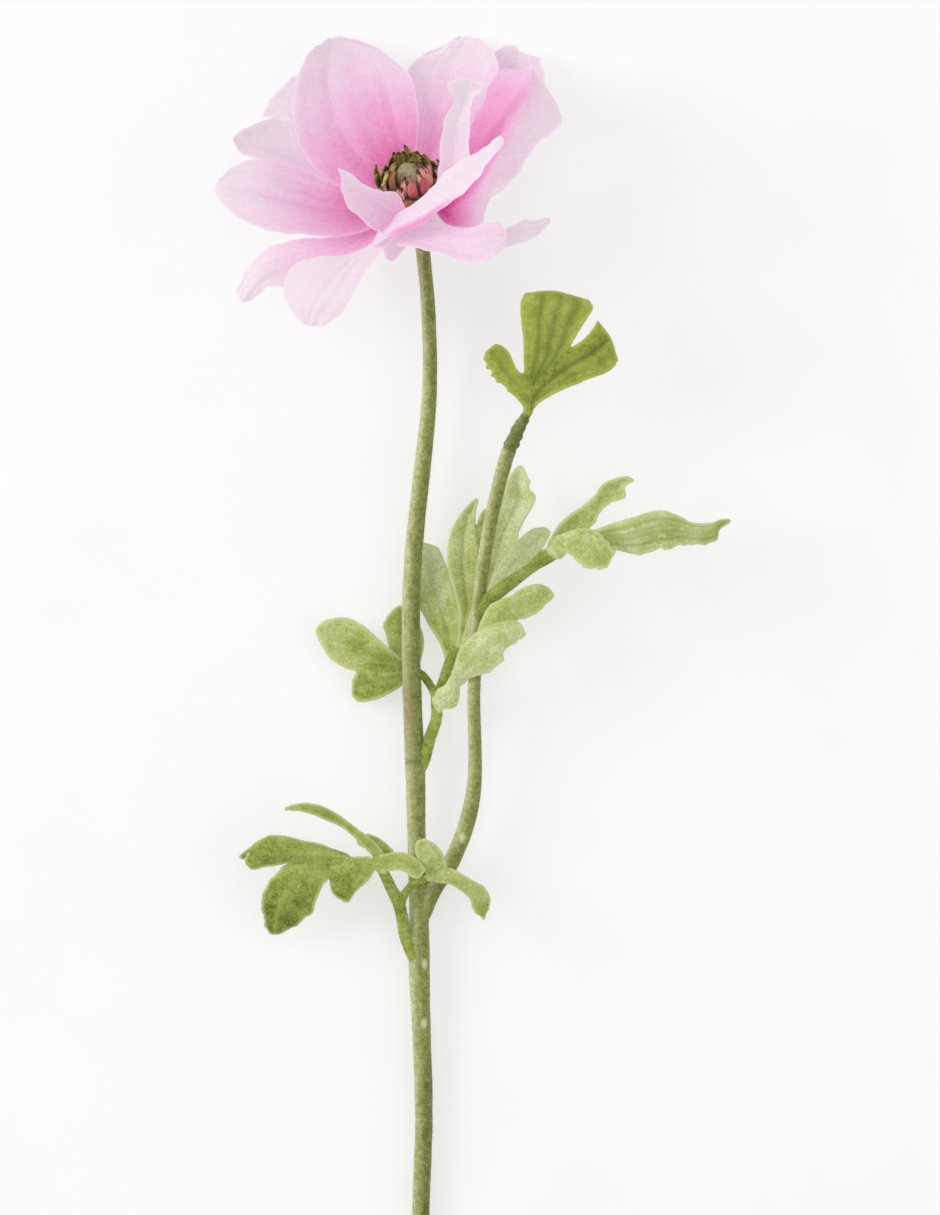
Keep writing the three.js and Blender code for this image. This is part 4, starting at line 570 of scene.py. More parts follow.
# Petals: each has a net of places, with heights over the bloom's centre. Its rows run from its root to its
# tip, each from left to right as seen with the tip ahead. Layer 0 is the outermost. Folds and ruffle are
# how strong those of its face and its edges are. Blush is how deep the pink is at its root and how far it
# reaches. Creases run (across, depth, width). A pale side starts at a share across, a pink edge at (across,
# from, to along).
PETALS = {
    "petal_folded": {
        "layer": 3, "folds": 0.2, "blush": (0.35, 13),
        "net": [
            ((436, 184, 5), (446, 186, 4), (458, 186, 6)),
            ((439, 165, 9), (454, 168, 8), (470, 168, 11)),
            ((441, 140, 13), (455, 141, 11.5), (469, 142, 14)),
            ((446, 119, 16), (458, 119, 14.5), (470, 119, 17)),
            ((454, 104, 18), (463, 104, 17), (472, 103, 19)),
            ((454, 97, 20), (464, 95, 19), (474, 97, 21)),
            ((450, 89, 22), (466, 86, 22), (482, 90, 23)),
            ((448, 81, 23), (466, 78.5, 24.5), (484, 86, 24)),
        ],
    },
    "petal_front_inner": {
        "layer": 3, "folds": 0.25, "blush": (0.16, 30), "pink_edge": (0.3, 0.36, 0.46),
        "net": [
            ((398, 213, 10), (388, 226, 10), (373, 243, 12)),
            ((411, 206, 16), (402, 219, 17), (386, 239, 19)),
            ((428, 192, 21), (425, 207, 24), (417, 226, 27)),
            ((446, 172, 25), (449, 189, 28), (450, 203, 31)),
            ((463, 159, 28), (469, 172, 31), (473, 184, 34)),
            ((482, 149, 31), (485, 158, 33), (486, 166, 35)),
            ((501, 135, 33), (504, 140, 33.5), (501, 148, 34)),
        ],
    },
    "petal_front_curled": {
        "layer": 3, "folds": 0.25, "blush": (0.4, 20),
        "net": [
            ((386, 232, 10), (396, 218, 9), (405, 208, 9)),
            ((371, 227, 15), (384, 209, 13), (396, 194, 14)),
            ((358, 216, 18), (368, 201, 16), (377, 190, 17)),
            ((347, 204, 20), (355, 193, 18), (363, 183, 18)),
            ((341, 190, 21), (346, 184, 20), (354, 176, 19)),
            ((341, 178, 21), (343, 176, 20), (346, 172, 20)),
            ((337, 170, 21), (337.5, 169, 21), (339, 168, 21)),
        ],
    },
    "petal_back_left": {
        "layer": 2, "folds": 0.4, "blush": (1.02, 20.5), "creases": [(-0.42, 0.7, 0.05), (0.45, 0.3, 0.05)],
        "net": [
            ((368, 196, -1), (393, 168, -6), (416, 152, -6)),
            ((330, 180, -5), (378, 140, -10), (419, 118, -9)),
            ((302, 152, -9), (364, 108, -14), (415, 92, -13)),
            ((293, 112, -12), (354, 76, -17), (408, 73, -14)),
            ((297, 80, -13), (350, 56, -17), (397, 63, -14)),
            ((305, 58, -13), (348, 42, -16), (384, 52, -13)),
            ((315, 45, -12), (341, 36.5, -15), (366, 42, -13)),
        ],
    },
    "petal_left": {
        "layer": 2, "folds": 0.45, "blush": (1.05, 19.5), "creases": [(0.05, 0.45, 0.045), (0.62, 0.4, 0.05)],
        "net": [
            ((378, 224, 6), (368, 208, 1), (362, 192, -2)),
            ((347, 236, 10), (335, 212, 3), (332, 183, -2)),
            ((306, 235, 13), (298, 205, 5), (302, 170, -3)),
            ((270, 230, 13), (265, 195, 6), (274, 161, -2)),
            ((242, 219, 11), (240, 190, 5), (250, 160, -1)),
            ((226, 207, 8), (224, 187, 4), (234, 167, 0)),
            ((217, 196, 5), (214, 188, 3), (219, 179, 2)),
        ],
    },
    "petal_lower": {
        "layer": 2, "folds": 0.5, "blush": (0.1, 16), "creases": [(0.1, 0.5, 0.05)],
        "net": [
            ((394, 238, 12), (386, 236, 10), (378, 238, 9)),
            ((378, 254, 16), (364, 252, 14), (349, 254, 13)),
            ((369, 266, 19), (345, 269, 18), (315, 257, 16)),
            ((359, 284, 22), (332, 286, 21), (294, 266, 17)),
            ((350, 300, 23), (321, 301, 22), (283, 286, 18)),
            ((338, 317, 22), (313, 314, 21), (289, 307, 19)),
            ((324, 326, 21), (311, 327, 20), (299, 321, 19)),
        ],
    },
    "petal_right": {
        "layer": 2, "folds": 0.5, "blush": (1.05, 36), "pale_side": 0.4, "ruffle": 1.5,
        "net": [
            ((440, 176, -1), (444, 190, 1), (447, 206, 4), (450, 227, 2)),
            ((452, 160, 0), (463, 172, 2), (474, 186, 9), (479, 229, 4)),
            ((466, 134, 0), (482, 144, 4), (496, 152, 14), (489, 202, 8)),
            ((480, 106, 0), (496, 118, 4), (511, 126, 15), (514, 180, 10)),
            ((492, 83, -1), (510, 94, 4), (526, 100, 14), (533, 149, 11)),
            ((501, 73, -1), (519, 81, 4), (534, 84, 12), (560, 124, 9)),
            ((510, 69, -1), (525, 73, 3), (536, 76, 9), (559, 106, 7)),
            ((519, 70, 0), (526, 68, 2), (534, 70, 6), (545, 97, 6)),
        ],
    },
    "petal_back_right": {
        "layer": 1, "folds": 0.6, "blush": (0.72, 20), "creases": [(-0.5, 0.4, 0.05)], "ruffle": 1.2,
        "net": [
            ((410, 160, -9), (427, 163, -8), (444, 163, -5)),
            ((404, 125, -14), (438, 128, -12), (470, 126, -8)),
            ((402, 92, -17.5), (448, 97, -15.5), (490, 98, -9)),
            ((408, 69, -19.7), (455, 72, -18), (497, 78, -10.5)),
            ((424, 54, -20), (462, 55, -19), (497, 60, -12.5)),
            ((443, 45, -20), (466, 44, -19.4), (489, 47, -15)),
            ((456, 37, -19.9), (467, 36, -19.5), (479, 39, -17.5)),
        ],
    },
    "petal_upper_left": {
        "layer": 1, "folds": 0.5, "blush": (0.5, 20),
        "net": [
            ((365, 205, -2), (372, 186, -6), (380, 168, -8)),
            ((330, 190, -3), (335, 168, -9), (345, 140, -12)),
            ((295, 176, -3), (300, 152, -10), (310, 124, -13)),
            ((268, 163, -3), (270, 143, -9), (280, 118, -12)),
            ((250, 157, -3), (250, 141, -7), (262, 121, -9)),
            ((240, 152, -3), (238, 140, -5), (246, 128, -6)),
            ((236, 146, -3), (233, 139, -4), (237, 132, -5)),
        ],
    },
    "petal_lower_left": {
        "layer": 1, "folds": 0.5, "blush": (0.75, 20),
        "net": [
            ((382, 240, 8), (372, 228, 4), (364, 220, 1)),
            ((352, 262, 9), (342, 247, 7), (337, 236, 5)),
            ((317, 280, 9), (308, 258, 8), (303, 238, 5)),
            ((289, 287, 8), (280, 266, 8), (272, 246, 5)),
            ((272, 287, 7), (262, 275, 7), (253, 261, 4)),
            ((259, 294, 5), (251, 286, 5), (243, 277, 3)),
            ((251, 301, 4), (242, 301, 4), (236, 293, 3)),
        ],
    },
    "petal_lower_right": {
        "layer": 1, "folds": 0.6, "blush": (0.22, 60), "ruffle": 1.0,
        "net": [
            ((425, 222, 12), (412, 232, 13), (396, 243, 15)),
            ((440, 222, 17), (430, 237, 20), (417, 248, 23)),
            ((455, 228, 22), (450, 243, 26), (444, 256, 29)),
            ((470, 227, 26), (468, 246, 31), (467, 263, 34)),
            ((484, 223, 29), (484, 243, 34), (487, 260, 36)),
            ((499, 223, 31), (499, 240, 35), (499, 254, 36)),
            ((506, 228, 33), (507, 236, 35), (505, 244, 35)),
        ],
    },
    "petal_ruffled": {
        "layer": 0, "folds": 1.0, "blush": (0.8, 28), "ruffle": 1.3,
        "net": [
            ((436, 162, -11), (450, 165, -9), (463, 170, -6)),
            ((455, 125, -16), (477, 132, -13), (497, 140, -8)),
            ((474, 85, -18), (502, 98, -15), (528, 115, -9)),
            ((488, 60, -19.8), (516, 75, -16), (543, 98, -9)),
            ((498, 49, -20), (522, 61, -17.5), (545, 80, -11)),
            ((514, 44, -20), (522, 53, -18.5), (539, 56, -15)),
        ],
    },
    "petal_behind": {
        "layer": 0, "folds": 0.8, "blush": (0.6, 20),
        "net": [
            ((372, 178, -8), (384, 165, -10), (398, 158, -11)),
            ((335, 150, -11), (352, 132, -14), (375, 115, -16)),
            ((300, 128, -14), (318, 108, -17.5), (340, 90, -19.6)),
            ((271, 118, -15), (290, 97, -18.6), (310, 76, -20)),
            ((263, 116, -15.5), (272, 97, -18.6), (292, 77, -19.9)),
        ],
    },
    "petal_far_right": {
        "layer": 0, "folds": 0.5, "blush": (0.1, 20),
        "net": [
            ((452, 222, 1), (448, 228, 3), (442, 234, 5)),
            ((482, 229, 5), (478, 234, 7), (472, 242, 10)),
            ((505, 229, 8), (503, 237, 10), (500, 247, 13)),
            ((524, 220.5, 9), (522, 231, 12), (519, 243, 14)),
            ((536, 220, 10), (537, 228, 12), (534, 238, 13)),
            ((546, 218, 11), (547, 222, 12), (545, 228, 12)),
            ((550, 220, 11.5), (550, 221, 12), (549, 223, 12)),
        ],
    },
    "petal_small": {
        "layer": 0, "folds": 0.5, "blush": (0.1, 24),
        "net": [
            ((416, 222, 5), (405, 224, 3), (393, 222, 3)),
            ((410, 240, 8), (398, 240, 6), (384, 238, 5)),
            ((400, 254, 9), (392, 256, 8), (383, 250, 7)),
            ((393, 261, 8.5), (390, 261, 8), (386, 258, 8)),
        ],
    },
}

# Middle of the bloom: the seed head's outline as (radius, height), and how far it all stands to one side.
SEED_HEAD = ((0, 3.4), (3.0, 3.4), (3.55, 5.0), (3.75, 7.0), (3.5, 8.8), (2.6, 10.2), (1.3, 11.0), (0, 11.2))
CROWN_SHIFT = np.array([0.5, 0, 0])
FRONT_TURN = 0.55  # how far round to the right the rosy, low side of its scales lies
SCALE_GRID = (12, 6)
SCALE_THICK = 0.45
STAMEN_THICK = 0.35
# Scales and stamens, in the bloom's frame: x away from its axis and z along it. Widths are (share along,
# half-width to the left, to the right).
SCALE_SHAPE = {
    "path": [(0, 0, 0), (0.9, 0, 2.2), (1.0, 0, 4.4), (0.3, 0, 6.2), (-0.9, 0, 7.3)],
    "face": [(-1, 0, 0), (-1, 0, 0.2), (-0.6, 0, -0.8)],
    "cup": 0.7,
}
NARROW_SCALE = {
    **SCALE_SHAPE,
    "path": [(0, 0, 0), (0.8, 0, 2.3), (0.8, 0, 4.6), (-0.1, 0, 6.5), (-1.6, 0, 7.9)],
    "width": [(0, 0.7, 0.7), (0.3, 0.9, 0.9), (0.6, 0.85, 0.85), (0.85, 0.55, 0.55), (1, 0.12, 0.12)],
}
WIDE_SCALE = {
    **SCALE_SHAPE,
    "width": [(0, 1.1, 1.1), (0.3, 1.5, 1.5), (0.6, 1.35, 1.35), (0.85, 0.75, 0.75), (1, 0.15, 0.15)],
}
STAMEN = {
    "path": [(0, 0, 0), (1.1, 0, 1.8), (1.5, 0, 3.8), (1.0, 0, 5.6), (0.0, 0, 6.7)],
    "face": [(-1, 0, 0), (-1, 0, 0.2), (-0.6, 0, -0.8)],
    "width": [(0, 0.8, 0.8), (0.35, 1.15, 1.15), (0.65, 1.0, 1.0), (0.88, 0.55, 0.55), (1, 0.12, 0.12)],
    "cup": 0.8,
}
# Rings of them: a shape, and its settings in the order of RING_SETTINGS.
RING_SETTINGS = ("Count", "Radius", "Foot", "Turn", "Lean", "Dip", "Unevenness", "Seed")
SCALE_RINGS = [
    (NARROW_SCALE, (13, 4.1, 3.4, 0.1, 0.0, 0.0, 0.35, 3)),
    (WIDE_SCALE, (11, 4.9, 3.4, 0.3, 0.05, 0.22, 0.45, 8)),
]
STAMEN_RINGS = [
    (STAMEN, (19, 5.9, 3.5, 0.0, 0.0, 0.88, 0.5, 21)),
    (STAMEN, (23, 6.7, 3.4, 0.2, 0.04, 0.92, 0.55, 35)),
]

# Marks on the stalk: where dark flecks lie along it and how far they spread, pale nicks and wound tape.
FLECKS_AT = (-1, 12)
STALK_SIDE = -9  # the x that parts it from its branch
DARK_FOOT = (-78, -105)  # the y from which it gets darker, and where it is darkest
DARKER = 0.11
CRACK = (0.45, 0.3)  # half-width and depth of the crack at the collar
NICKS = [[-12.4, -66.5, 7.2], [-12.6, -82.1, 6.5], [-2.7, -33.4, 10.6]]
WRAP_SPAN = [[9.2, 67.0, 23.4], [14.1, 77.1, 24.0]]
WRAP_PITCH = 2.2
WRAP_RELIEF = (0.1, 0.3)  # of its turns and of its lumps
BARK_RELIEF = (0.10, 0.06)  # of long and of small lumps

# The pink of petals: the blush of their backs, the share of it that a pale side lacks, and a pink edge's.
BACK_BLUSH = (0.45, 18)
PALE_SIDE = 0.8
PINK_EDGE = 0.6

# Relief: how deep or high it is, and how far apart side veins are.
GROOVE_DEPTH = 0.3
SIDE_VEIN_DEPTH = 0.12
SIDE_VEIN_STEP = 4.2
VEIN_DEPTH = 0.25
LEAF_SWELL = 0.35
LEAF_LUMPS = 0.05
PETAL_SWELL = 0.3
PETAL_PLEAT = 0.015
PETAL_FOLDS = ((1.6, 0.3), (3.3, 0.17), (7.1, 0.06))  # waves across a petal and their size
SCALE_CREASE = 0.12
SEED_HEAD_LUMPS = 0.12


# ---------- places ----------
def route(stops):
    """A route in millimetres: x, y, z and radius at each stop."""
    return [[*seen(*place), radius] for *place, radius in stops]


def lobe_net(lobe):
    """A lobe's net in millimetres, with its cup, which fades out at both ends."""
    rows, last = [], len(lobe["net"]) - 1
    left, right = lobe.get("cup", (0, 0))
    for i, (*pixels, height) in enumerate(lobe["net"]):
        fade = min(1, *((steps + CUP_FADE[0]) / CUP_FADE[1] for steps in (i, last - i)))
        heights = (height + rise * fade for rise in (left, 0, right))
        rows.append([seen(*pixels[2 * k : 2 * k + 2], over) for k, over in enumerate(heights)])
    return rows


def petal_net(net):
    """A petal's net as offsets from the bloom's centre."""
    return [[seen(*place, BLOOM_CENTRE) for place in row] for row in net]


# ---------- curves and grids ----------
def along_curve(points, shares):
    """Places and unit directions at shares from 0 to 1 of a smooth curve through points."""
    points = np.asarray(points, float)
    spans = len(points) - 1
    points = np.vstack([2 * points[0] - points[1], points, 2 * points[-1] - points[-2]])
    place = np.clip(shares, 0, 1) * spans
    i = np.minimum(place.astype(int), spans - 1)
    w = (place - i)[:, None]
    before, start, end, after = (points[i + k] for k in range(4))
    leaving, arriving = (end - before) / 2, (after - start) / 2
    where = (
        (2 * w**3 - 3 * w**2 + 1) * start
        + (w**3 - 2 * w**2 + w) * leaving
        + (3 * w**2 - 2 * w**3) * end
        + (w**3 - w**2) * arriving
    )
    slope = (
        (6 * w**2 - 6 * w) * (start - end)
        + (3 * w**2 - 4 * w + 1) * leaving
        + (3 * w**2 - 2 * w) * arriving
    )
    return where, unit(slope)


def unit(vectors):
    return vectors / np.linalg.norm(vectors, axis=-1, keepdims=True)


def through(rows, shares, column):
    """Values at shares of one column of (share, value, ...) rows, on a smooth curve through them."""
    rows = np.asarray(rows, float)
    x, y = rows[:, 0], rows[:, column]
    last = len(x) - 1
    low, high = np.maximum(np.arange(last + 1) - 1, 0), np.minimum(np.arange(last + 1) + 1, last)
    slope = (y[high] - y[low]) / (x[high] - x[low])
    i = np.clip(np.searchsorted(x, shares, side="right") - 1, 0, last - 1)
    span = x[i + 1] - x[i]
    s = np.clip((shares - x[i]) / span, 0, 1)
    ends = (2 * s**3 - 3 * s**2 + 1) * y[i] + (3 * s**2 - 2 * s**3) * y[i + 1]
    return ends + span * ((s**3 - 2 * s**2 + s) * slope[i] + (s**3 - s**2) * slope[i + 1])


def smooth_step(x, low, high):
    s = np.clip((x - low) / (high - low), 0, 1)
    return s * s * (3 - 2 * s)


def ridge(x, centre, width):
    return np.exp(-(((x - centre) / width) ** 2))


def uneven(points, scale, seed=0):
    """Smooth noise, about -1 to 1, at rows of points, in features of the given size."""
    shift = Vector((17.3 * seed, 5.1 * seed, 11.7 * seed))
    values = [noise.noise(Vector(p) / scale + shift) for p in points.reshape(-1, 3)]
    return np.array(values).reshape(points.shape[:-1])


def uneven_on(x, y, layer, scale):
    """Smooth noise at places on a sheet. Another layer gives other noise."""
    return uneven(np.stack([x, y, np.full_like(x, layer)], -1), scale)


def grid_quads(index):
    """The quads between neighbours in a grid of vertex numbers."""
    corners = [index[:-1, :-1], index[:-1, 1:], index[1:, 1:], index[1:, :-1]]
    return np.stack(corners, -1).reshape(-1, 4)


def ring_quads(index):
    """The same for a grid whose rows are closed rings."""
    return grid_quads(np.column_stack([index, index[:, 0]]))


def both(values):
    """Values for a sheet's points, on both faces of its slab."""
    return np.concatenate([values.ravel(), values.ravel()])


class Sheet:
    """The middle surface of a thin piece: a grid of points, each with its share along, t, and across, u."""

    def __init__(self, grid, crowding=1.0):
        """The grid's shares: rows crowd to the tip, and columns to both edges."""
        rows, columns = grid
        self.t = 1 - (1 - np.linspace(0, 1, rows + 1)) ** 1.25
        s = np.linspace(-1, 1, columns + 1)
        self.u = np.sign(s) * (1 - (1 - abs(s)) ** crowding)
        self.tt, self.uu = np.meshgrid(self.t, self.u, indexing="ij")

    def normals(self):
        down = np.gradient(self.points, axis=0)
        over = np.gradient(self.points, axis=1)
        return unit(np.cross(over, down))

    def raise_by(self, heights):
        """Moves every point along the surface's normal."""
        self.points = self.points + self.normals() * heights[..., None]

    def to_edge(self):
        """About how far every point is from the sheet's long edges or its tip, in millimetres."""
        return np.minimum(self.half * (1 - abs(self.uu)), self.length * (1 - self.tt))


class Blade(Sheet):
    """A sheet along a middle line, with a width on each side and bent across."""

    def __init__(self, shape, grid):
        super().__init__(grid)
        t, u = self.tt, self.uu
        middle, along = along_curve(shape["path"], self.t)
        self.length = np.linalg.norm(np.diff(middle, axis=0), axis=1).sum()
        face = np.asarray(shape["face"], float)
        place = self.t * (len(face) - 1)
        k = np.minimum(place.astype(int), len(face) - 2)
        up = face[k] + (face[k + 1] - face[k]) * (place - k)[:, None]
        up = unit(up - (up * along).sum(1)[:, None] * along)
        right = np.cross(along, up)
        self.half = np.where(u < 0, through(shape["width"], t, 1), through(shape["width"], t, 2))
        bend = shape["cup"]
        radius = self.half / bend
        self.points = (
            middle[:, None]
            + right[:, None] * (radius * np.sin(bend * u))[..., None]
            + up[:, None] * (radius * (1 - np.cos(bend * u)))[..., None]
        )


class Net(Sheet):
    """A sheet through rows of points, from its root to its tip and each from its left edge to its right."""

    def __init__(self, rows, grid, crowding=1.0):
        super().__init__(grid, crowding)
        rows = np.asarray(rows, float)
        columns = np.stack([along_curve(rows[:, j], self.t)[0] for j in range(rows.shape[1])], 1)
        self.points = np.stack([along_curve(row, (self.u + 1) / 2)[0] for row in columns])
        steps = np.linalg.norm(np.diff(self.points, axis=1), axis=2).sum(1)
        self.half = np.broadcast_to(steps[:, None] / 2, self.tt.shape)
        middle = self.points[:, self.points.shape[1] // 2]
        self.length = np.linalg.norm(np.diff(middle, axis=0), axis=1).sum()

    def spread(self, reach):
        """Moves the long edges and the tip outward, and what lies near them less."""
        over, down = (unit(np.gradient(self.points, axis=axis)) for axis in (1, 0))
        sideways = np.sign(self.uu) * abs(self.uu) ** 3 * reach
        self.points = self.points + over * sideways[..., None] + down * (self.tt**12 * reach)[..., None]


def notches(teeth, t, u):
    """How far teeth of (count, depth) on each edge, left and right, stand out."""
    if not teeth:
        return 0
    count, depth = (np.where(u < 0, teeth[0][k], teeth[1][k]) for k in (0, 1))
    return depth * np.sin(math.pi * t) * ((count * t % 1) ** 2 - 0.33)


def slab(blade, thick):
    """A closed slab round a sheet, as points and quads. The points of its upper face come first."""
    normals = blade.normals()
    thick = np.broadcast_to(thick, blade.tt.shape)[..., None]
    rows, columns = (n - 1 for n in blade.tt.shape)
    points = np.concatenate([(blade.points + side * normals * thick / 2).reshape(-1, 3) for side in (1, -1)])
    index = np.arange((rows + 1) * (columns + 1)).reshape(rows + 1, columns + 1)
    upper, count = grid_quads(index), index.size
    rim = np.concatenate([index[0, :-1], index[:-1, -1], index[-1, :0:-1], index[:0:-1, 0]])
    ahead = np.roll(rim, -1)
    sides = np.stack([ahead, rim, rim + count, ahead + count], 1)
    return points, np.concatenate([upper, upper[:, [0, 3, 2, 1]] + count, sides])


def tube(route, sides, steps_per_point):
    """A closed round bar along [x, y, z, radius] points, with flat ends."""
    route = np.asarray(route, float)
    steps = (len(route) - 1) * steps_per_point
    t = np.linspace(0, 1, steps + 1)
    middle, along = along_curve(route[:, :3], t)
    radius = through(np.column_stack([np.linspace(0, 1, len(route)), route[:, 3]]), t, 1)
    across = np.zeros_like(along)
    last = np.array([0.0, 0, 1])
    for i, direction in enumerate(along):
        last = unit(last - (last @ direction) * direction)
        across[i] = last
    other = np.cross(along, across)
    angle = np.arange(sides) / sides * TAU
    ring = across[:, None] * np.cos(angle)[:, None] + other[:, None] * np.sin(angle)[:, None]
    points = (middle[:, None] + ring * radius[:, None, None]).reshape(-1, 3)
    index = np.arange((steps + 1) * sides).reshape(steps + 1, sides)
    return points, [*ring_quads(index).tolist(), index[0, ::-1].tolist(), index[-1].tolist()]


def bloom_frame():
    """Side, back and axis of the bloom as the columns of a 3 by 3 array."""
    back = unit(np.array([0, BLOOM_AXIS[2], -BLOOM_AXIS[1]]))
    return np.column_stack([np.cross(back, BLOOM_AXIS), back, BLOOM_AXIS])


def turned_solid(profile, sides):
    """A solid of revolution round the bloom's axis, from (radius, height) points that start and end on it."""
    inner = profile[1:-1]
    angle = np.arange(sides) / sides * TAU
    rings = [[[r * math.cos(a), r * math.sin(a), h] for a in angle] for r, h in inner]
    points = np.array([[0, 0, profile[0][1]], *sum(rings, []), [0, 0, profile[-1][1]]])
    index = 1 + np.arange(len(inner) * sides).reshape(len(inner), sides)
    ahead = np.roll(index, -1, axis=1)
    faces = ring_quads(index).tolist()
    faces += [[0, int(b), int(a)] for a, b in zip(index[0], ahead[0])]
    faces += [[len(points) - 1, int(a), int(b)] for a, b in zip(index[-1], ahead[-1])]
    return BLOOM_CENTRE + points @ bloom_frame().T, faces


# ---------- meshes ----------
def new_object(name, data):
    """An object of the scene that shows this data."""
    made = bpy.data.objects.new(name, data)
    bpy.context.scene.collection.objects.link(made)
    return made


def new_mesh(name, points, faces):
    """An object with these points, in millimetres, and faces."""
    mesh = bpy.data.meshes.new(name)
    faces = faces if isinstance(faces, list) else faces.tolist()
    mesh.from_pydata((np.asarray(points) * MM).tolist(), [], faces)
    mesh.update()
    return new_object(name, mesh)


def vectors_of(items, key):
    """One vector of each item, as rows."""
    flat = np.zeros(len(items) * 3, np.float32)
    items.foreach_get(key, flat)
    return flat.reshape(-1, 3).astype(float)


def vertices_of(piece):
    """The piece's vertices in millimetres."""
    return vectors_of(piece.data.vertices, "co") / MM


def move_vertices(piece, points):
    piece.data.vertices.foreach_set("co", (points * MM).astype(np.float32).ravel())
    piece.data.update()


def vertex_normals(piece):
    return vectors_of(piece.data.vertex_normals, "vector")


def store(piece, name, values):
    """Keeps one number for each vertex, for the piece's material to read."""
    attribute = piece.data.attributes.new(name, "FLOAT", "POINT")
    attribute.data.foreach_set("value", np.asarray(values, np.float32).ravel())


def store_uv(piece, across, along):
    """A UV map from two numbers for each vertex."""
    layer = piece.data.uv_layers.new(name="surface")
    corner = np.zeros(len(piece.data.loops), np.int32)
    piece.data.loops.foreach_get("vertex_index", corner)
    pairs = np.column_stack([across[corner], along[corner]])
    layer.uv.foreach_set("vector", pairs.astype(np.float32).ravel())


def smooth_faces(piece):
    piece.data.polygons.foreach_set("use_smooth", [True] * len(piece.data.polygons))


def settled(piece, name=None):
    """The piece with its modifiers applied, as a new object with a plain mesh."""
    graph = bpy.context.evaluated_depsgraph_get()
    shown = piece.evaluated_get(graph)
    mesh = bpy.data.meshes.new_from_object(shown, preserve_all_data_layers=True, depsgraph=graph)
    name = name or piece.name
    bpy.data.objects.remove(piece)
    mesh.name = name
    return new_object(name, mesh)


def fused(name, solids, cell, smoothing):
    """One closed skin round several overlapping closed solids."""
    points, faces, start = [], [], 0
    for solid_points, solid_faces in solids:
        points.append(solid_points)
        faces += [[int(v) + start for v in face] for face in solid_faces]
        start += len(solid_points)
    piece = new_mesh(name, np.concatenate(points), faces)
    remesh = piece.modifiers.new("one skin", "REMESH")
    remesh.mode, remesh.voxel_size, remesh.use_smooth_shade = "VOXEL", cell * MM, True
    soften = piece.modifiers.new("soft", "SMOOTH")
    soften.factor, soften.iterations = 0.5, smoothing
    return settled(piece)


def dress(piece, nodes, slot, *materials):
    """Gives a finished piece its materials and ties it to the CAD nodes that it stands for."""
    piece.data.materials.clear()
    for material in materials:
        piece.data.materials.append(material)
    smooth_faces(piece)
    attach(piece, "root")
    if nodes:
        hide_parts(*nodes)
    return piece


# ---------- node trees ----------
class Value:
    """A node's output that Python arithmetic works on."""

    def __init__(self, tree, socket):
        self.tree, self.socket = tree, socket

    def __add__(self, other):
        return self.tree.maths("ADD", self, other)

    def __radd__(self, other):
        return self.tree.maths("ADD", other, self)

    def __sub__(self, other):
        return self.tree.maths("SUBTRACT", self, other)

    def __rsub__(self, other):
        return self.tree.maths("SUBTRACT", other, self)

    def __mul__(self, other):
        return self.tree.maths("MULTIPLY", self, other)

    def __rmul__(self, other):
        return self.tree.maths("MULTIPLY", other, self)

    def __truediv__(self, other):
        return self.tree.maths("DIVIDE", self, other)


class Tree:
    """A shader or geometry node tree under construction."""

    def __init__(self, tree):
        self.tree = tree

    def node(self, kind, settings=(), sockets=(), output=0):
        """An output of a new node, whose settings are made before its sockets get their values or links."""
        made = self.tree.nodes.new(kind)
        for name, value in dict(settings).items():
            if name == "stops":
                set_stops(made.color_ramp, value)
            else:
                setattr(made, name, value)
        for name, value in dict(sockets).items():
            if isinstance(value, Value):
                self.tree.links.new(value.socket, made.inputs[name])
            else:
                made.inputs[name].default_value = value
        return Value(self, made.outputs[output]) if made.outputs else made

    def maths(self, operation, *values):
        return self.node("ShaderNodeMath", {"operation": operation}, dict(enumerate(values)))

    def clamp(self, value, low=0.0, high=1.0):
        return self.node("ShaderNodeClamp", (), {0: value, 1: low, 2: high})

    def step(self, value, low, high):
        """0 below low, 1 above high and smooth between."""
        settings = {"interpolation_type": "SMOOTHSTEP"}
        return self.node("ShaderNodeMapRange", settings, {0: value, 1: low, 2: high})

    def vector(self, x=0.0, y=0.0, z=0.0):
        return self.node("ShaderNodeCombineXYZ", (), {0: x, 1: y, 2: z})

    def parts(self, vector):
        """x, y and z of a vector."""
        made = self.node("ShaderNodeSeparateXYZ", (), {0: vector})
        return [Value(self, socket) for socket in made.socket.node.outputs]


def set_stops(ramp, stops):
    """Sets a colour ramp's stops from (place, colour) pairs."""
    while len(ramp.elements) < len(stops):
        ramp.elements.new(1.0)
    for element, (place, colour) in zip(ramp.elements, stops):
        element.position, element.color = place, colour


def ink(code, alpha=1.0):
    """A colour from its six-digit screen code."""
    parts = [int(code[i : i + 2], 16) / 255 for i in (0, 2, 4)]
    linear = [p / 12.92 if p <= 0.04045 else ((p + 0.055) / 1.055) ** 2.4 for p in parts]
    return (*linear, alpha)


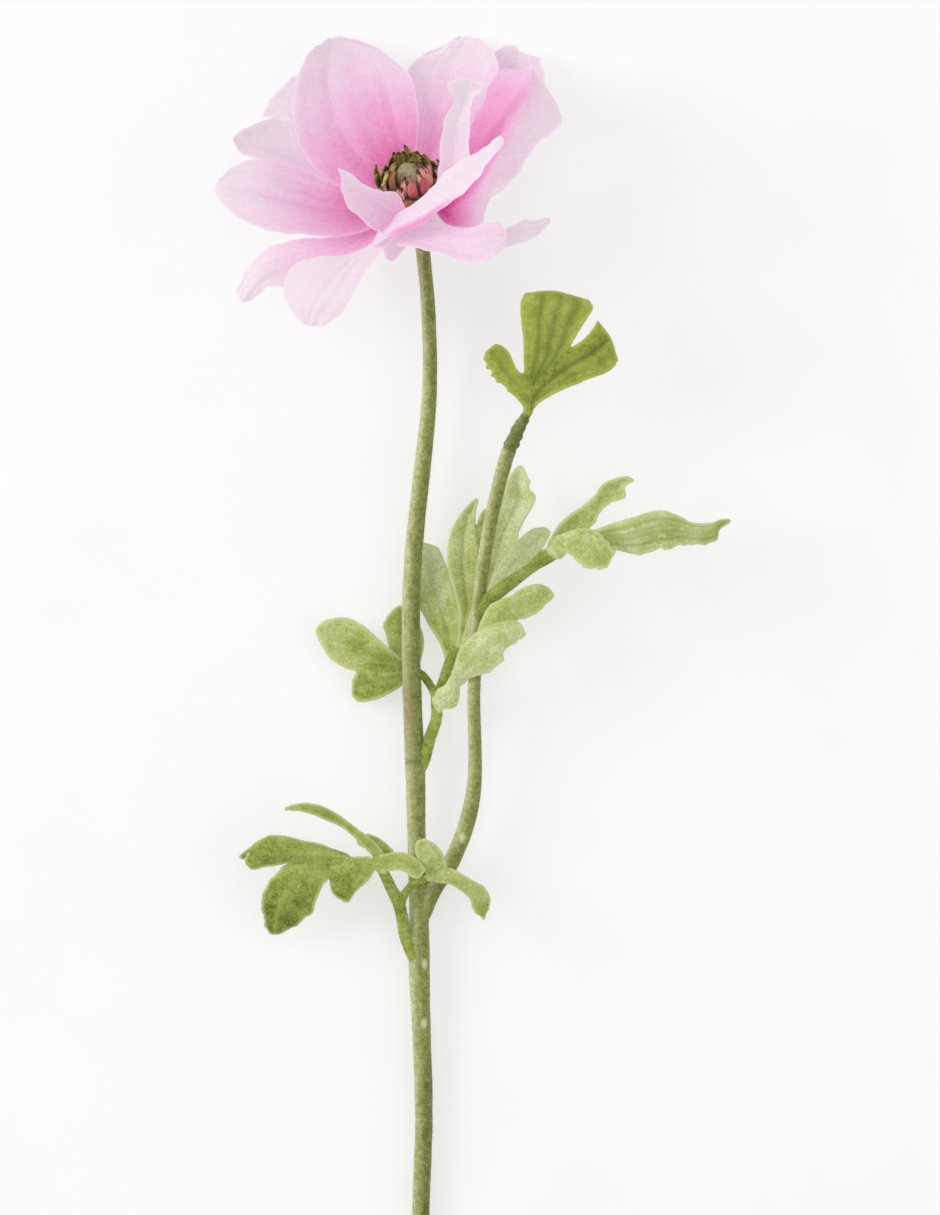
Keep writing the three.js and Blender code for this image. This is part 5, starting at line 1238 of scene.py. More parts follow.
class Finish(Tree):
    """A material under construction, with one Principled surface."""

    def __init__(self, name, **constants):
        self.material = bpy.data.materials.new(name)
        self.material.use_nodes = True
        super().__init__(self.material.node_tree)
        self.tree.nodes.clear()
        self.surface = self.tree.nodes.new("ShaderNodeBsdfPrincipled")
        for socket, value in constants.items():
            self.surface.inputs[socket.replace("_", " ")].default_value = value
        self.place = self.node("ShaderNodeTexCoord", output="Object")

    def attribute(self, name):
        return self.node("ShaderNodeAttribute", {"attribute_name": name}, output="Fac")

    def grain(self, size, detail=2.0, place=None):
        """Noise from 0 to 1 with features of this size in millimetres."""
        sockets = {"Vector": place or self.place, "Scale": 1 / (size * MM), "Detail": detail}
        return self.node("ShaderNodeTexNoise", (), sockets)

    def pattern(self, place, detail=2.0):
        """Noise from 0 to 1 with features one unit of place in size."""
        return self.node("ShaderNodeTexNoise", (), {"Vector": place, "Scale": 1.0, "Detail": detail})

    def ramp(self, value, *stops):
        return self.node("ShaderNodeValToRGB", {"stops": [(p, ink(c)) for p, c in stops]}, {0: value})

    def mix(self, under, over, factor):
        """over laid on under, as colours."""
        sockets = {
            0: factor,
            6: ink(under) if isinstance(under, str) else under,
            7: ink(over) if isinstance(over, str) else over,
        }
        return self.node("ShaderNodeMix", {"data_type": "RGBA"}, sockets, output=2)

    def done(self, colour, roughness, height=None, depth=0.1):
        """The material with its colour, roughness and, in millimetres, the depth of its bump."""
        links = {"Base Color": colour, "Roughness": roughness}
        if height is not None:
            sockets = {"Height": height, "Strength": 1.0, "Distance": depth * MM}
            links["Normal"] = self.node("ShaderNodeBump", (), sockets)
        for socket, value in links.items():
            if isinstance(value, Value):
                self.tree.links.new(value.socket, self.surface.inputs[socket])
            else:
                self.surface.inputs[socket].default_value = value
        self.node("ShaderNodeOutputMaterial", (), {"Surface": Value(self, self.surface.outputs[0])})
        return self.material


# ---------- finishes ----------
def petal_fabric():
    """Thin cloth, deep pink at a petal's root and almost white at its edge, that lets a little light through
    and gives off a painted glow in place of the rest.
    """
    f = Finish(
        "petal_fabric",
        Sheen_Weight=0.1,
        Sheen_Roughness=0.4,
        Subsurface_Weight=0.3,
        Subsurface_Radius=(1.0, 0.5, 0.75),
        Subsurface_Scale=1.0 * MM,
        Specular_IOR_Level=0.15,
        Emission_Strength=PETAL_GLOW,
    )
    across, along = f.attribute("across"), f.attribute("along")
    streaks = f.pattern(f.vector(across * 5, along * 1.1))
    veins = f.pattern(f.vector(across * 22, along * 1.4), 1.0)
    cloud, blotch, fibres = f.grain(7), f.grain(1.6), f.grain(0.42, 2.0)
    level = f.attribute("blush") + (streaks - 0.5) * 0.2 + (veins - 0.5) * 0.06 + (cloud - 0.5) * 0.12
    level = level + (blotch - 0.5) * 0.16 + (fibres - 0.5) * 0.3
    colour = f.ramp(
        f.clamp(level),
        (0.0, "ede0e9"),
        (0.15, "edd3e4"),
        (0.3, "edc0dd"),
        (0.45, "ebaad1"),
        (0.6, "e794c5"),
        (0.8, "dc70aa"),
        (1.0, "bf2f80"),
    )
    # Painted highlight: a pale band along the petal's rim.
    colour = f.mix(colour, "f8eef5", f.step(f.attribute("rim"), 0.7, 0.0) * 0.2)
    # Painted glow: the petal gives off its own colour, and its surface colour is darkened by the same share.
    f.tree.links.new(colour.socket, f.surface.inputs["Emission Color"])
    cloth = f.node("ShaderNodeUVMap", {"uv_map": "surface"})
    x, y, _ = f.parts(cloth)
    threads = f.maths("SINE", x * (TAU / WEAVE)) * f.maths("SINE", y * (TAU / WEAVE))
    unlit, roughness = f.mix(colour, "000000", PETAL_GLOW), 0.7 + (cloud - 0.5) * 0.2
    return f.done(unlit, roughness, threads * 0.2 + fibres * 1.5, 0.07)


def flock(name, shades, rim, vein, yellow, fuzz=0.8, patchy=0.7):
    """Short soft nap in shades from dark to pale: grainy, streaked along a lobe, with painted rim light at
    its edges and a painted glow that lightens its shade.
    """
    f = Finish(
        name,
        Sheen_Weight=0.3,
        Sheen_Roughness=0.35,
        Sheen_Tint=ink("e6efc8"),
        Specular_IOR_Level=0.12,
        Subsurface_Weight=0.08,
        Subsurface_Radius=(0.6, 0.8, 0.3),
        Subsurface_Scale=0.8 * MM,
        Emission_Strength=LEAF_GLOW,
    )
    patches = f.grain(5.0, 2.0)
    mottle = f.grain(1.3, 3.0)
    fibres = f.grain(0.5, 2.0)
    streak = f.attribute("streak")
    level = f.attribute("tone") + (patches - 0.5) * patchy + (mottle - 0.5) * 0.55
    level = level + (fibres - 0.5) * fuzz + streak * 0.12
    colour = f.ramp(f.clamp(level), *zip((0.0, 0.25, 0.5, 0.75, 1.0), shades))
    colour = f.mix(colour, yellow, f.step(streak + (mottle - 0.5) * 0.6, 0.0, 0.7) * 0.35)
    # Dark veins: their own darker green, with painted shade in the grooves along them; on the stalk, the dark
    # tape and crack.
    colour = f.mix(colour, vein, f.attribute("vein") * f.step(fibres + mottle * 0.5, 0.45, 0.9))
    # Painted rim light: a pale band along a leaf's outer edge.
    colour = f.mix(colour, rim, f.step(f.attribute("rim") + (fibres - 0.5) * 0.9, 1.3, 0.2) * 0.75)
    colour = f.mix(colour, "8a6a52", f.attribute("fleck") * f.step(mottle + fibres * 0.6, 0.6, 0.95) * 0.75)
    colour = f.mix(colour, "d5d9b0", f.attribute("nick") * 0.8)
    # Painted glow: the nap gives off its own colour, and its surface colour is darkened by the same share.
    f.tree.links.new(colour.socket, f.surface.inputs["Emission Color"])
    return f.done(f.mix(colour, "000000", LEAF_GLOW), 0.86, fibres + mottle * 0.6, 0.2)


def nap_finish(name, dark, pale):
    """Single hairs of the nap."""
    f = Finish(name, Sheen_Weight=0.3, Specular_IOR_Level=0.1)
    return f.done(f.ramp(f.grain(1.6, 2.0), (0.35, dark), (0.65, pale)), 0.8)


def scale_finish(name, inner, outer, rosy, rim, tip):
    """Dry scales of the bloom's centre: olive, rosy in front, pale at their rims, with dark ragged tips and
    painted shade at their feet.
    """
    f = Finish(name, Sheen_Weight=0.1, Specular_IOR_Level=0.25)
    across, along, dice = f.attribute("across"), f.attribute("along"), f.attribute("dice")
    streaks = f.pattern(f.vector(across * 4 + dice * 31, along * 1.5, dice * 17), 3.0)
    level = f.clamp(dice * 0.55 + streaks * 0.8 - 0.15 + along * 0.15)
    stops = (0.1, 0.45, 0.8)
    inside, outside, blush = (f.ramp(level, *zip(stops, shades)) for shades in (inner, outer, rosy))
    shade = f.mix(inside, outside, f.attribute("outer"))
    in_front = f.step(f.attribute("front") + (dice - 0.5) * 0.6, -0.25, 0.45)
    shade = f.mix(shade, blush, in_front * f.attribute("outer"))
    pale = f.step(f.maths("ABSOLUTE", across) + (streaks - 0.5) * 0.6, 0.75, 1.0) * f.step(dice, 0.3, 0.9)
    shade = f.mix(shade, rim, pale * 0.7)
    # Painted shade: dark near the scales' feet, where the gaps between them lie in shadow.
    shade = f.mix(shade, "24140a", f.step(along, 0.45, 0.05) * 0.85)
    shade = f.mix(shade, tip, f.step(along + (streaks - 0.5) * 0.7 + (dice - 0.5) * 0.3, 0.8, 0.98))
    return f.done(shade, 0.6, streaks + f.grain(0.4) * 0.5, 0.12)


def seed_head_nap():
    f = Finish("seed_head_nap", Sheen_Weight=0.3, Sheen_Tint=ink("d8dcb8"), Specular_IOR_Level=0.15)
    fine, soft = f.grain(0.5, 3.0), f.grain(2.6, 2.0)
    level = f.clamp(0.5 + (fine - 0.5) * 1.4 + (soft - 0.5) * 0.6)
    colour = f.ramp(level, (0.2, "6d6a40"), (0.5, "99916f"), (0.85, "bdb69c"))
    x, _, _ = f.parts(f.place)
    colour = f.mix(colour, "c09a7c", f.step(soft * 4 - x * 1000, 18.2, 21.2) * 0.65)
    return f.done(colour, 0.85, fine, 0.15)


def floor_paper():
    f = Finish("pale_floor", Specular_IOR_Level=0.1, Emission_Color=(1, 1, 1, 1), Emission_Strength=0.55)
    return f.done(f.ramp(f.grain(40, 2.0), (0.3, "a9a9a8"), (0.7, "acacab")), 0.9, f.grain(1.5), 0.02)


# ---------- petals ----------
def petal_rows(net, layer):
    """The petal's net of points, with the row where it grows from the knob put before it."""
    net = np.array(petal_net(net))
    radial = unit(net[0, 1] - (net[0, 1] @ BLOOM_AXIS) * BLOOM_AXIS)
    across = np.cross(radial, BLOOM_AXIS)
    root = radial * (KNOB_RADIUS + ROOT_GAP) + BLOOM_AXIS * (OUTER_LAYER + layer * PETAL_LAYER_STEP)
    spread = np.linspace(-ROOT_HALF_WIDTH, ROOT_HALF_WIDTH, net.shape[1])
    return BLOOM_CENTRE + np.concatenate([(root + across * spread[:, None])[None], net])


def petal_relief(blade, petal, seed):
    """Heights of the folds that spread from the petal's root, of its creases and of its uneven surface."""
    t, u = blade.tt, blade.uu
    spread = smooth_step(t, 0.08, 0.6)
    folds = 0
    for k, (turns, size) in enumerate(PETAL_FOLDS, 1):
        folds = folds + size * np.sin(math.pi * turns * u + 2.1 * seed + 1.7 * k + 0.8 * np.sin(3 * t + seed))
    heights = petal["folds"] * spread * folds
    heights += PETAL_SWELL * uneven_on(u * 1.6, t * 3.2, seed * 3.1, 1.0) * spread
    pleats = np.sin(math.pi * (17 * u + 0.6 * np.sin(5 * t + seed)))
    heights += PETAL_PLEAT * pleats * smooth_step(t, 0.1, 0.3)
    near_edge = np.maximum(abs(u) ** 4, t**10) * spread
    heights += petal.get("ruffle", 0.5) * near_edge * uneven(blade.points, 4.0, seed + 7)
    for place, depth, width in petal.get("creases", ()):
        heights -= depth * ridge(u, place, width) * smooth_step(t, 0.12, 0.4)
    return heights


def petal_blush(blade, petal, inner):
    """How deep the petal's pink is, from 0 at its pale edge to 1 at its root."""
    strength, reach = petal["blush"] if inner else BACK_BLUSH
    t, u = blade.tt, blade.uu
    depth = strength * np.exp(-((t * blade.length / reach) ** 1.6)) * (1 - 0.25 * u**2)
    pale = petal.get("pale_side")
    if inner and pale is not None:
        beyond = smooth_step(u, pale - 0.3, pale + 0.3)
        depth = depth * (1 - PALE_SIDE * beyond * smooth_step(t, 0.1, 0.3))
    edge, start, end = petal.get("pink_edge", (2, 0, 1))
    along = smooth_step(t, start - 0.15, start) * (1 - smooth_step(t, end, end + 0.2))
    return np.maximum(depth, PINK_EDGE * smooth_step(u, edge, edge + 0.6) * along)


def petal_piece(name, petal, seed, cloth):
    blade = Net(petal_rows(petal["net"], petal["layer"]), PETAL_GRID, PETAL_CROWDING)
    blade.spread(EDGE_WAVE * uneven(blade.points, 2.6, seed) * smooth_step(blade.tt, 0.1, 0.3))
    blade.raise_by(petal_relief(blade, petal, seed))
    edge = blade.to_edge()
    thick = PETAL_RIM + (PETAL_THICK - PETAL_RIM) * smooth_step(edge, 0, PETAL_RIM_WIDTH)
    points, quads = slab(blade, thick)
    points[:, 2] = np.maximum(points[:, 2], REST_GAP)
    piece = new_mesh(f"fabric_{name}", points, quads)
    store(piece, "across", both(blade.uu + 4 * seed))
    store(piece, "along", both(blade.tt))
    store(piece, "rim", both(edge))
    blush = [petal_blush(blade, petal, inner).ravel() for inner in (True, False)]
    store(piece, "blush", np.concatenate(blush))
    store_uv(piece, both(blade.half * blade.uu), both(blade.length * blade.tt))
    sharpen_rim(piece, blade.tt.size)
    return dress(piece, [name], "petal", cloth)


def sharpen_rim(piece, count):
    """Keeps the narrow rim between the two faces of a slab crisp."""
    mesh = piece.data
    ends = np.zeros(len(mesh.edges) * 2, np.int32)
    mesh.edges.foreach_get("vertices", ends)
    ends = ends.reshape(-1, 2)
    rim = np.unique(ends[(ends < count).sum(1) == 1])
    on_rim = np.isin(ends, rim).all(1) & ((ends < count).sum(1) != 1)
    mesh.edges.foreach_set("use_edge_sharp", on_rim)


# ---------- leaves ----------
def lobe_bumps(blade, lobe):
    """How far the lobe's teeth and bumps stand out at each point."""
    out = notches(lobe.get("teeth"), blade.tt, blade.uu)
    for side, place, height, length in lobe.get("bumps", ()):
        bump = height * ridge(blade.tt * blade.length, place * blade.length, length)
        out = out + bump * (side * blade.uu > 0)
    return out


def lobe_relief(blade, lobe, seed):
    """Heights of a lobe's grooves, side veins and soft waves, and how strongly each point shows a dark vein,
    which in the grooves is partly painted shade.
    """
    t, u, half = blade.tt, blade.uu, blade.half
    open_part = smooth_step(t, 0.05, 0.25) * (1 - smooth_step(t, 0.9, 1))
    across = u * half
    groove = ridge(across, 0, 0.7) * open_part
    slant = t * blade.length - 0.9 * abs(across)
    side = ridge((slant / SIDE_VEIN_STEP + 0.13 * seed) % 1, 0.5, 0.16) * open_part
    side = side * smooth_step(half, 2, 4) * (1 - u**4)
    heights = -GROOVE_DEPTH * groove - SIDE_VEIN_DEPTH * side
    heights += LEAF_SWELL * uneven_on(across, t * blade.length, 9.0 * seed, 6.0)
    # Painted shade: the groove along the lobe's middle is darkened like a vein.
    vein = 0.25 * groove
    for place, width, strength in lobe.get("veins", ()):
        line = ridge(across, place * half, width)
        vein = np.maximum(vein, strength * line)
        heights -= VEIN_DEPTH * strength * line * open_part
    return heights, vein


class Skeleton:
    """The middle surfaces of a leaf's lobes, with values that a skin grown over them looks up."""

    def __init__(self, blades, values):
        self.points = np.concatenate([blade.points.reshape(-1, 3) for blade in blades])
        self.values = np.concatenate([value.reshape(-1, value.shape[-1]) for value in values])
        faces, start, trees = [], 0, []
        for blade in blades:
            rows, columns = blade.tt.shape
            index = np.arange(rows * columns).reshape(rows, columns)
            quads = grid_quads(index)
            trees.append(BVHTree.FromPolygons(blade.points.reshape(-1, 3).tolist(), quads.tolist()))
            faces.append(quads + start)
            start += rows * columns
        self.faces = np.concatenate(faces)
        self.tree = BVHTree.FromPolygons(self.points.tolist(), self.faces.tolist())
        edges = []
        for k, blade in enumerate(blades):
            rim = np.concatenate([blade.points[:, 0], blade.points[:, -1], blade.points[-1]])
            others = trees[:k] + trees[k + 1 :]
            for point in rim.tolist():
                if all(other.find_nearest(point)[3] > LEAF_THICK for other in others):
                    edges.append(point)
        self.edge = KDTree(len(edges))
        for k, point in enumerate(edges):
            self.edge.insert(point, k)
        self.edge.balance()

    def look_up(self, points, elsewhere):
        """For each point, its distance to the leaf's outer edge and the values of the nearest lobe."""
        rim = np.full(len(points), FAR_IN)
        found = np.tile(np.asarray(elsewhere, float), (len(points), 1))
        for i, point in enumerate(points.tolist()):
            where, _, face, away = self.tree.find_nearest(point)
            if away > LEAF_THICK:
                continue
            corners = self.faces[face]
            weights = 1 / (np.linalg.norm(self.points[corners] - np.array(where), axis=1) + 1e-3)
            found[i] = weights @ self.values[corners] / weights.sum()
            rim[i] = self.edge.find(point)[2]
        return rim, found.T


def rooted(petiole):
    """A petiole's route, drawn back to a thin end inside the stalk that it grows from."""
    (*start, radius), (*ahead, _) = petiole[:2]
    return [[*(1.6 * np.array(start) - 0.6 * np.array(ahead)), 0.4 * radius], *petiole]


def leaf_piece(name, leaf, seed, slot, flocked):
    """A leaf's lobes and petioles as one flocked skin."""
    first, *others = map(route, leaf["petioles"])
    solids = [tube(petiole, sides=20, steps_per_point=8) for petiole in (rooted(first), *others)]
    blades, values = [], []
    at_edge, edge_width = LEAF_EDGE
    for k, lobe in enumerate(leaf["lobes"].values()):
        blade = Net(lobe_net(lobe), LOBE_GRID)
        blade.spread(SKIN_LOSS + lobe_bumps(blade, lobe))
        heights, vein = lobe_relief(blade, lobe, seed + k)
        blade.raise_by(heights)
        thick = at_edge + (1 - at_edge) * smooth_step(blade.to_edge(), 0, edge_width)
        solids.append(slab(blade, LEAF_THICK * thick))
        streak = uneven_on(1.3 * blade.uu, 0.7 * blade.tt, 5.0 * k + seed, 0.5)
        blades.append(blade)
        at_root, at_tip = lobe["tone"]
        values.append(np.stack([vein, at_root + (at_tip - at_root) * blade.tt, streak], -1))
    piece = fused(f"flocked_{name}", solids, SKIN_CELL, 2)
    points = vertices_of(piece)
    points[:, 2] = np.maximum(points[:, 2], LEAF_REST_GAP)
    rim, (vein, tone, streak) = Skeleton(blades, values).look_up(points, PETIOLE_LOOK)
    lumps = LEAF_LUMPS * uneven(points, 1.4, seed)
    move_vertices(piece, points + vertex_normals(piece) * lumps[:, None])
    for key, stored in (("rim", rim), ("vein", vein), ("tone", tone), ("streak", streak)):
        store(piece, key, stored)
    return dress(piece, [name], slot, flocked)


# ---------- stalk ----------
def stalk_piece(flocked):
    """Stalk, branch, collar and knob as one flocked skin."""
    x, y, z = seen(*COLLAR["place"])
    r, h = COLLAR["radius"], COLLAR["height"]
    collar = [[x, y - h / 2, z, 0.92 * r], [x, y, z, r], [x, y + h / 2, z, 0.9 * r]]
    outline = (*KNOB_UNDERSIDE, (1, KNOB_TOP), (0, KNOB_TOP))
    solids = [
        tube(route(STALK_ROUTE), sides=40, steps_per_point=12),
        tube(route(BRANCH_ROUTE), sides=36, steps_per_point=12),
        tube(collar, sides=40, steps_per_point=3),
        turned_solid([[share * KNOB_RADIUS, height] for share, height in outline], sides=40),
    ]
    piece = fused("flocked_stalk", solids, STALK_CELL, 3)
    points = vertices_of(piece)
    long_lumps, lumps = BARK_RELIEF
    heights = long_lumps * uneven(points * [1, 0.25, 1], 1.6, 3) + lumps * uneven(points, 0.9, 5)
    wrap_place, wrapped = wrap_mask(points)
    turns, lumps = WRAP_RELIEF
    heights += wrapped * (turns * np.sin(TAU * wrap_place) + lumps * uneven(points, 1.8, 8))
    on_stalk = points[:, 0] < STALK_SIDE
    crack = on_stalk * ridge(points[:, 1] + 0.5 * uneven(points, 2.5, 4), y, CRACK[0])
    normals = vertex_normals(piece)
    points = points + normals * (heights - CRACK[1] * crack)[:, None]
    points[:, 2] = np.maximum(points[:, 2], REST_GAP)
    move_vertices(piece, points)
    away = [np.linalg.norm((points - spot) * [1, 0.7, 1], axis=1) for spot in np.array(NICKS)]
    nick = sum(np.exp(-((distance / 0.9) ** 4)) for distance in away)
    store(piece, "rim", np.full(len(points), FAR_IN))
    store(piece, "vein", np.maximum(wrapped * (0.8 + 0.5 * uneven(points, 1.2, 6)), 0.9 * crack))
    # Painted light and shade: the stalk is paler where its surface faces left, towards the key light, and
    # darker where it faces right.
    side = normals[:, 0] + 0.25 * uneven(points * [1, 0.2, 1], 1.5, 11)
    tone = STALK_LIT_AND_SHADED_TONE[0] + (STALK_LIT_AND_SHADED_TONE[1] - STALK_LIT_AND_SHADED_TONE[0]) * smooth_step(side, -1.0, 0.35)
    store(piece, "tone", tone - DARKER * smooth_step(points[:, 1], *DARK_FOOT))
    store(piece, "fleck", ridge(points[:, 1], *FLECKS_AT) * on_stalk * smooth_step(side, 0.5, -0.5))
    store(piece, "nick", np.clip(nick, 0, 1))
    return dress(piece, ["stalk"], "stalk", flocked)


def wrap_mask(points):
    """For the tape wound round the top of the branch: turns along it, and 1 where it is."""
    start, end = np.array(WRAP_SPAN[0]), np.array(WRAP_SPAN[1])
    axis = unit(end - start)
    along = (points - start) @ axis
    off = points - start - along[:, None] * axis
    angle = np.arctan2(off @ np.array([0, 0, 1.0]), off @ unit(np.cross(axis, [0, 0, 1.0])))
    reach = np.linalg.norm(end - start)
    near = np.linalg.norm(off, axis=1) < 4
    covered = near * smooth_step(along, 0, 1) * (1 - smooth_step(along, reach - 1, reach))
    return along / WRAP_PITCH + angle / TAU, covered


# ---------- what repeats: scales, stamens and nap ----------
class Grower(Tree):
    """A Geometry Nodes tree with named inputs."""

    KINDS = {int: "NodeSocketInt", float: "NodeSocketFloat", str: "NodeSocketMaterial"}

    def __init__(self, name, **inputs):
        tree = bpy.data.node_groups.new(name, "GeometryNodeTree")
        super().__init__(tree)
        tree.interface.new_socket("Geometry", in_out="INPUT", socket_type="NodeSocketGeometry")
        for key, kind in inputs.items():
            tree.interface.new_socket(key.replace("_", " "), in_out="INPUT", socket_type=self.KINDS[kind])
        tree.interface.new_socket("Geometry", in_out="OUTPUT", socket_type="NodeSocketGeometry")
        self.inputs = tree.nodes.new("NodeGroupInput")

    def input(self, name):
        return Value(self, self.inputs.outputs[name])

    def random(self, low, high, seed):
        sockets = {2: low, 3: high, "Seed": seed}
        return self.node("FunctionNodeRandomValue", {"data_type": "FLOAT"}, sockets, output=1)

    def finish(self, geometry):
        """Ends the tree in Realize Instances and Set Material."""
        real = self.node("GeometryNodeRealizeInstances", (), {0: geometry})
        made = self.node("GeometryNodeSetMaterial", (), {0: real, "Material": self.input("Material")})
        out = self.tree.nodes.new("NodeGroupOutput")
        self.tree.links.new(made.socket, out.inputs[0])
        return self.tree


def grown(piece, tree, name, **values):
    """The piece as a Geometry Nodes tree turns it, with the tree's inputs set, as a plain mesh."""
    modifier = piece.modifiers.new("grow", "NODES")
    modifier.node_group = tree
    for item in tree.interface.items_tree:
        key = item.name.replace(" ", "_")
        if item.in_out == "INPUT" and key in values:
            modifier[item.identifier] = values[key]
    return settled(piece, name)


def ring_tree():
    """Copies of a scale that stand on a circle round Z, each turned, leant and sized a little differently.

    Dip is how much shorter they are at the front.
    """
    kinds = {name: int if name in ("Count", "Seed") else float for name in RING_SETTINGS}
    g = Grower("ring_of_scales", **kinds, Material=str)
    count, seed, uneven_by = g.input("Count"), g.input("Seed"), g.input("Unevenness")
    circle = g.node("GeometryNodeMeshCircle", (), {"Vertices": count, "Radius": g.input("Radius")})
    foot = g.vector(z=g.input("Foot"))
    lifted = g.node("GeometryNodeSetPosition", (), {"Geometry": circle, "Offset": foot})
    index = g.node("GeometryNodeInputIndex")
    jitter = g.random(-0.5, 0.5, seed)
    angle = index / count * TAU
    lean = g.input("Lean") + g.random(-1.0, 1.0, seed + 1) * uneven_by * 0.45
    turn = g.vector(jitter * uneven_by * 0.8, lean, angle + jitter * uneven_by * 0.5)
    front = g.maths("SINE", angle + g.input("Turn") - FRONT_TURN) * -1
    tall = (g.random(-0.7, 0.4, seed + 3) * uneven_by + 1) * (1 - g.input("Dip") * g.clamp(front))
    size = g.vector(1, g.random(-0.5, 0.5, seed + 2) * uneven_by + 1, tall)
    spun = g.node("GeometryNodeTransform", (), {"Geometry": lifted, "Rotation": g.vector(z=g.input("Turn"))})
    placed = g.node(
        "GeometryNodeInstanceOnPoints",
        (),
        {"Points": spun, "Instance": g.input("Geometry"), "Rotation": turn, "Scale": size},
    )
    for name, value in (("dice", g.random(0.0, 1.0, seed + 4)), ("front", front)):
        placed = g.node(
            "GeometryNodeStoreNamedAttribute",
            {"data_type": "FLOAT", "domain": "INSTANCE"},
            {"Geometry": placed, "Name": name, "Value": value},
        )
    return g.finish(placed)


def nap_tree():
    """Short hairs that stand on a surface and lean at random."""
    g = Grower("nap", Density=float, Length=float, Radius=float, Lean=float, Seed=int, Material=str)
    seed = g.input("Seed")
    spread = g.tree.nodes.new("GeometryNodeDistributePointsOnFaces")
    for socket, value in (("Mesh", g.input("Geometry")), ("Density", g.input("Density")), ("Seed", seed)):
        g.tree.links.new(value.socket, spread.inputs[socket])
    points, stand = Value(g, spread.outputs["Points"]), Value(g, spread.outputs["Rotation"])
    radius, length = g.input("Radius"), g.input("Length")
    sizes = {"Vertices": 3, "Side Segments": 1, "Radius Top": 0.0, "Radius Bottom": radius, "Depth": length}
    hair = g.node("GeometryNodeMeshCone", {"fill_type": "NGON"}, sizes)
    lean = g.input("Lean")
    sideways = [g.random(-1.0, 1.0, seed + step) * lean for step in (1, 2)]
    tilt = g.vector(*sideways, g.random(0.0, TAU, seed + 3))
    sockets = {"Rotation": stand, "Rotate By": tilt}
    turned = g.node("FunctionNodeRotateRotation", {"rotation_space": "LOCAL"}, sockets)
    placed = g.node(
        "GeometryNodeInstanceOnPoints",
        (),
        {"Points": points, "Instance": hair, "Rotation": turned, "Scale": g.random(0.55, 1.1, seed + 4)},
    )
    return g.finish(placed)


def scale_mesh(name, shape, thick):
    """One scale in its own frame: +X away from the bloom's axis and +Z along it."""
    blade = Blade(shape, SCALE_GRID)
    crease = -SCALE_CREASE * ridge(blade.uu, 0, 0.35) * smooth_step(blade.tt, 0.1, 0.4)
    blade.raise_by(crease)
    points, quads = slab(blade, thick * (0.4 + 0.6 * smooth_step(blade.to_edge(), 0, 0.5)))
    piece = new_mesh(name, points, quads)
    store(piece, "across", both(blade.uu))
    store(piece, "along", both(blade.tt))
    store(piece, "outer", np.repeat([0.0, 1.0], blade.tt.size))
    return piece


def crown_piece(name, node, slot, rings, thick, tree, finish):
    """Rings of one kind of scale round the bloom's axis, as one piece."""
    parts = []
    for k, (shape, settings) in enumerate(rings):
        scale = scale_mesh(f"{name}_{k}", shape, thick)
        values = dict(zip(RING_SETTINGS, settings))
        for key in ("Radius", "Foot"):
            values[key] = values[key] * MM
        parts.append(grown(scale, tree, f"{name}_{k}", Material=finish, **values))
    joined = join(parts, name)
    place = np.eye(4)
    place[:3, :3], place[:3, 3] = bloom_frame(), (BLOOM_CENTRE + CROWN_SHIFT) * MM
    joined.data.transform(Matrix(place.tolist()))
    return dress(joined, [node], slot, finish)


def join(parts, name):
    """Several objects as one mesh object."""
    for part in bpy.context.view_layer.objects:
        part.select_set(part in parts)
    bpy.context.view_layer.objects.active = parts[0]
    bpy.ops.object.join()
    parts[0].name = parts[0].data.name = name
    return parts[0]


def nap_piece(name, carrier, slot, tree, finish, density, length, seed):
    """Nap that stands on a finished piece."""
    sizes = {"Density": density / MM**2, "Length": length * MM, "Radius": HAIR_RADIUS * MM, "Lean": HAIR_LEAN}
    made = grown(new_object(name, carrier.data.copy()), tree, name, Seed=seed, Material=finish, **sizes)
    return dress(made, [], slot, finish)


def seed_head_piece(finish):
    points, faces = turned_solid(SEED_HEAD, sides=40)
    piece = new_mesh("napped_seed_head", points, faces)
    finer = piece.modifiers.new("rounder", "SUBSURF")
    finer.levels = finer.render_levels = 2
    piece = settled(piece)
    points = vertices_of(piece) + CROWN_SHIFT
    lumps = SEED_HEAD_LUMPS * uneven(points, 0.7, 2)
    move_vertices(piece, points + vertex_normals(piece) * lumps[:, None])
    return dress(piece, ["seed_head"], "seed_head", finish)


# ---------- stage ----------
def light(name, place, size, power, colour):
    """A round soft light that shines on the spray."""
    data = bpy.data.lights.new(name, "AREA")
    data.shape, data.size, data.energy, data.color = "DISK", size, power, colour
    made = new_object(name, data)
    made.location = place
    towards = Vector(LIGHT_AIM) - Vector(place)
    made.rotation_euler = towards.to_track_quat("-Z", "Y").to_euler()


def set_stage():
    far = FLOOR_HALF
    corners = [(-far, -far), (far, -far), (far, far), (-far, far)]
    floor = new_mesh("floor", [(*corner, FLOOR_HEIGHT) for corner in corners], [[0, 1, 2, 3]])
    floor.data.materials.append(floor_paper())
    for name, settings in LIGHTS.items():
        light(name, **settings)
    world = bpy.data.worlds.new("studio")
    world.use_nodes = True
    sky = world.node_tree.nodes["Background"]
    sky.inputs["Color"].default_value = SKY_COLOUR
    sky.inputs["Strength"].default_value = SKY_STRENGTH
    bpy.context.scene.world = world
    bpy.context.scene.view_settings.view_transform = "Standard"


def set_camera():
    """Looks straight down on the spray from far enough for its heights to show little perspective."""
    data = bpy.data.cameras.new("camera")
    data.sensor_fit, data.sensor_height = "VERTICAL", 24.0
    data.lens = data.sensor_height * (CAMERA_HEIGHT - FOCUS_HEIGHT) / FRAME_HEIGHT
    data.clip_start, data.clip_end = 0.1, 20
    camera = new_object("camera", data)
    camera.location = (CAMERA_OVER[0] * MM, CAMERA_OVER[1] * MM, CAMERA_HEIGHT * MM)
    bpy.context.scene.camera = camera


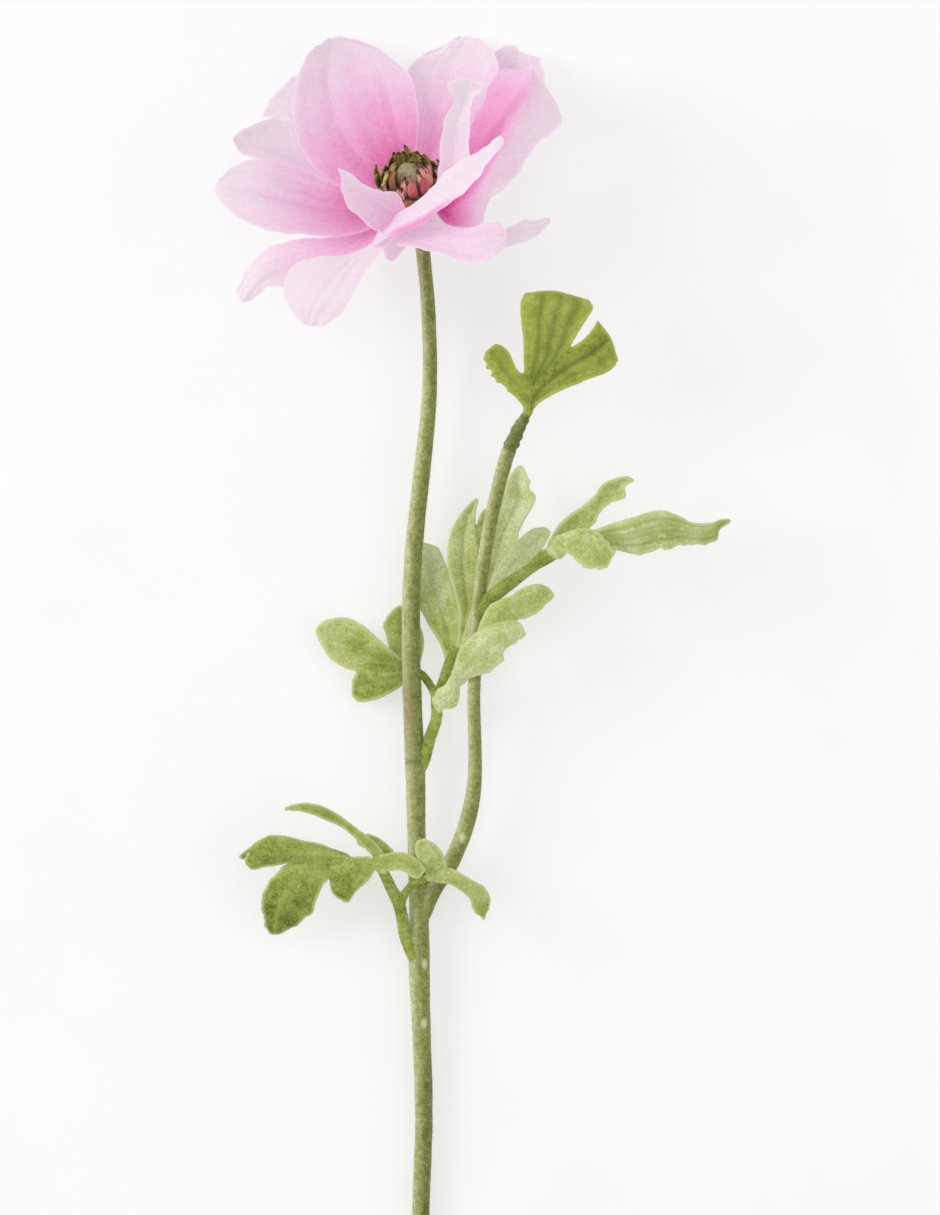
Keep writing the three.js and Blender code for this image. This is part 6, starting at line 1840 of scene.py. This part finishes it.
# ---------- the spray ----------
set_camera()
set_stage()
cloth = petal_fabric()
for order, (name, petal) in enumerate(PETALS.items()):
    petal_piece(name, petal, order, cloth)

leaf_shades = ("5d692a", "889540", "a6b160", "c1c989", "dce2b8")
top_shades = ("5f6b28", "8a943c", "a1ab4e", "b8c068", "d2d792")
stalk_shades = ("545a2c", "7f8549", "9fa368", "bfc392", "d9dcc0")
leaf_flock = flock("leaf_flock", leaf_shades, "d0d79c", "66702f", "a8ae52")
top_flock = flock("top_leaf_flock", top_shades, "b9c05e", "56622a", "aead42")
stalk_flock = flock("stalk_flock", stalk_shades, "c8cfa6", "4a602c", "9aa269", fuzz=0.6, patchy=0.25)
nap = nap_tree()
leaf_hair = nap_finish("leaf_hair", "a3b078", "cfd7a8")
stalk_hair = nap_finish("stalk_hair", "9aa573", "c6cda3")
leaves = (
    ("leaf_lower", LEAF_LOWER, "leaf", leaf_flock),
    ("leaf_upper", LEAF_UPPER, "leaf", leaf_flock),
    ("leaf_side", LEAF_SIDE, "leaf", leaf_flock),
    ("leaf_top", LEAF_TOP, "top_leaf", top_flock),
)
for order, (name, leaf, slot, skin) in enumerate(leaves):
    made = leaf_piece(name, leaf, order + 2, slot, skin)
    nap_piece(f"nap_of_{name}", made, slot, nap, leaf_hair, *LEAF_NAP, seed=order)
stalk = stalk_piece(stalk_flock)
nap_piece("nap_of_stalk", stalk, "stalk", nap, stalk_hair, *STALK_NAP, seed=9)

head = seed_head_piece(seed_head_nap())
head_hair = nap_finish("seed_head_hair", "7c7e55", "b9bb96")
nap_piece("nap_of_seed_head", head, "seed_head", nap, head_hair, *SEED_HEAD_NAP, seed=12)
ring = ring_tree()
olive, tawny = ("3a2c08", "7b7322", "b9b04e"), ("4a2c12", "8f7638", "c9b67a")
rose = scale_finish("rose_scales", olive, tawny, ("7e2430", "b8505a", "dea08f"), "e0c3a4", "5a1a20")
stamen = scale_finish("olive_stamens", olive, tawny, ("7a2f2c", "a86a4c", "cfa481"), "ebe4b6", "55141c")
crown_piece("rose_scale_rings", "rose_scales", "rose_scales", SCALE_RINGS, SCALE_THICK, ring, rose)
crown_piece("olive_stamen_rings", "stamens", "stamens", STAMEN_RINGS, STAMEN_THICK, ring, stamen)

for node in frame["nodes"].values():
    node.data.materials.clear()
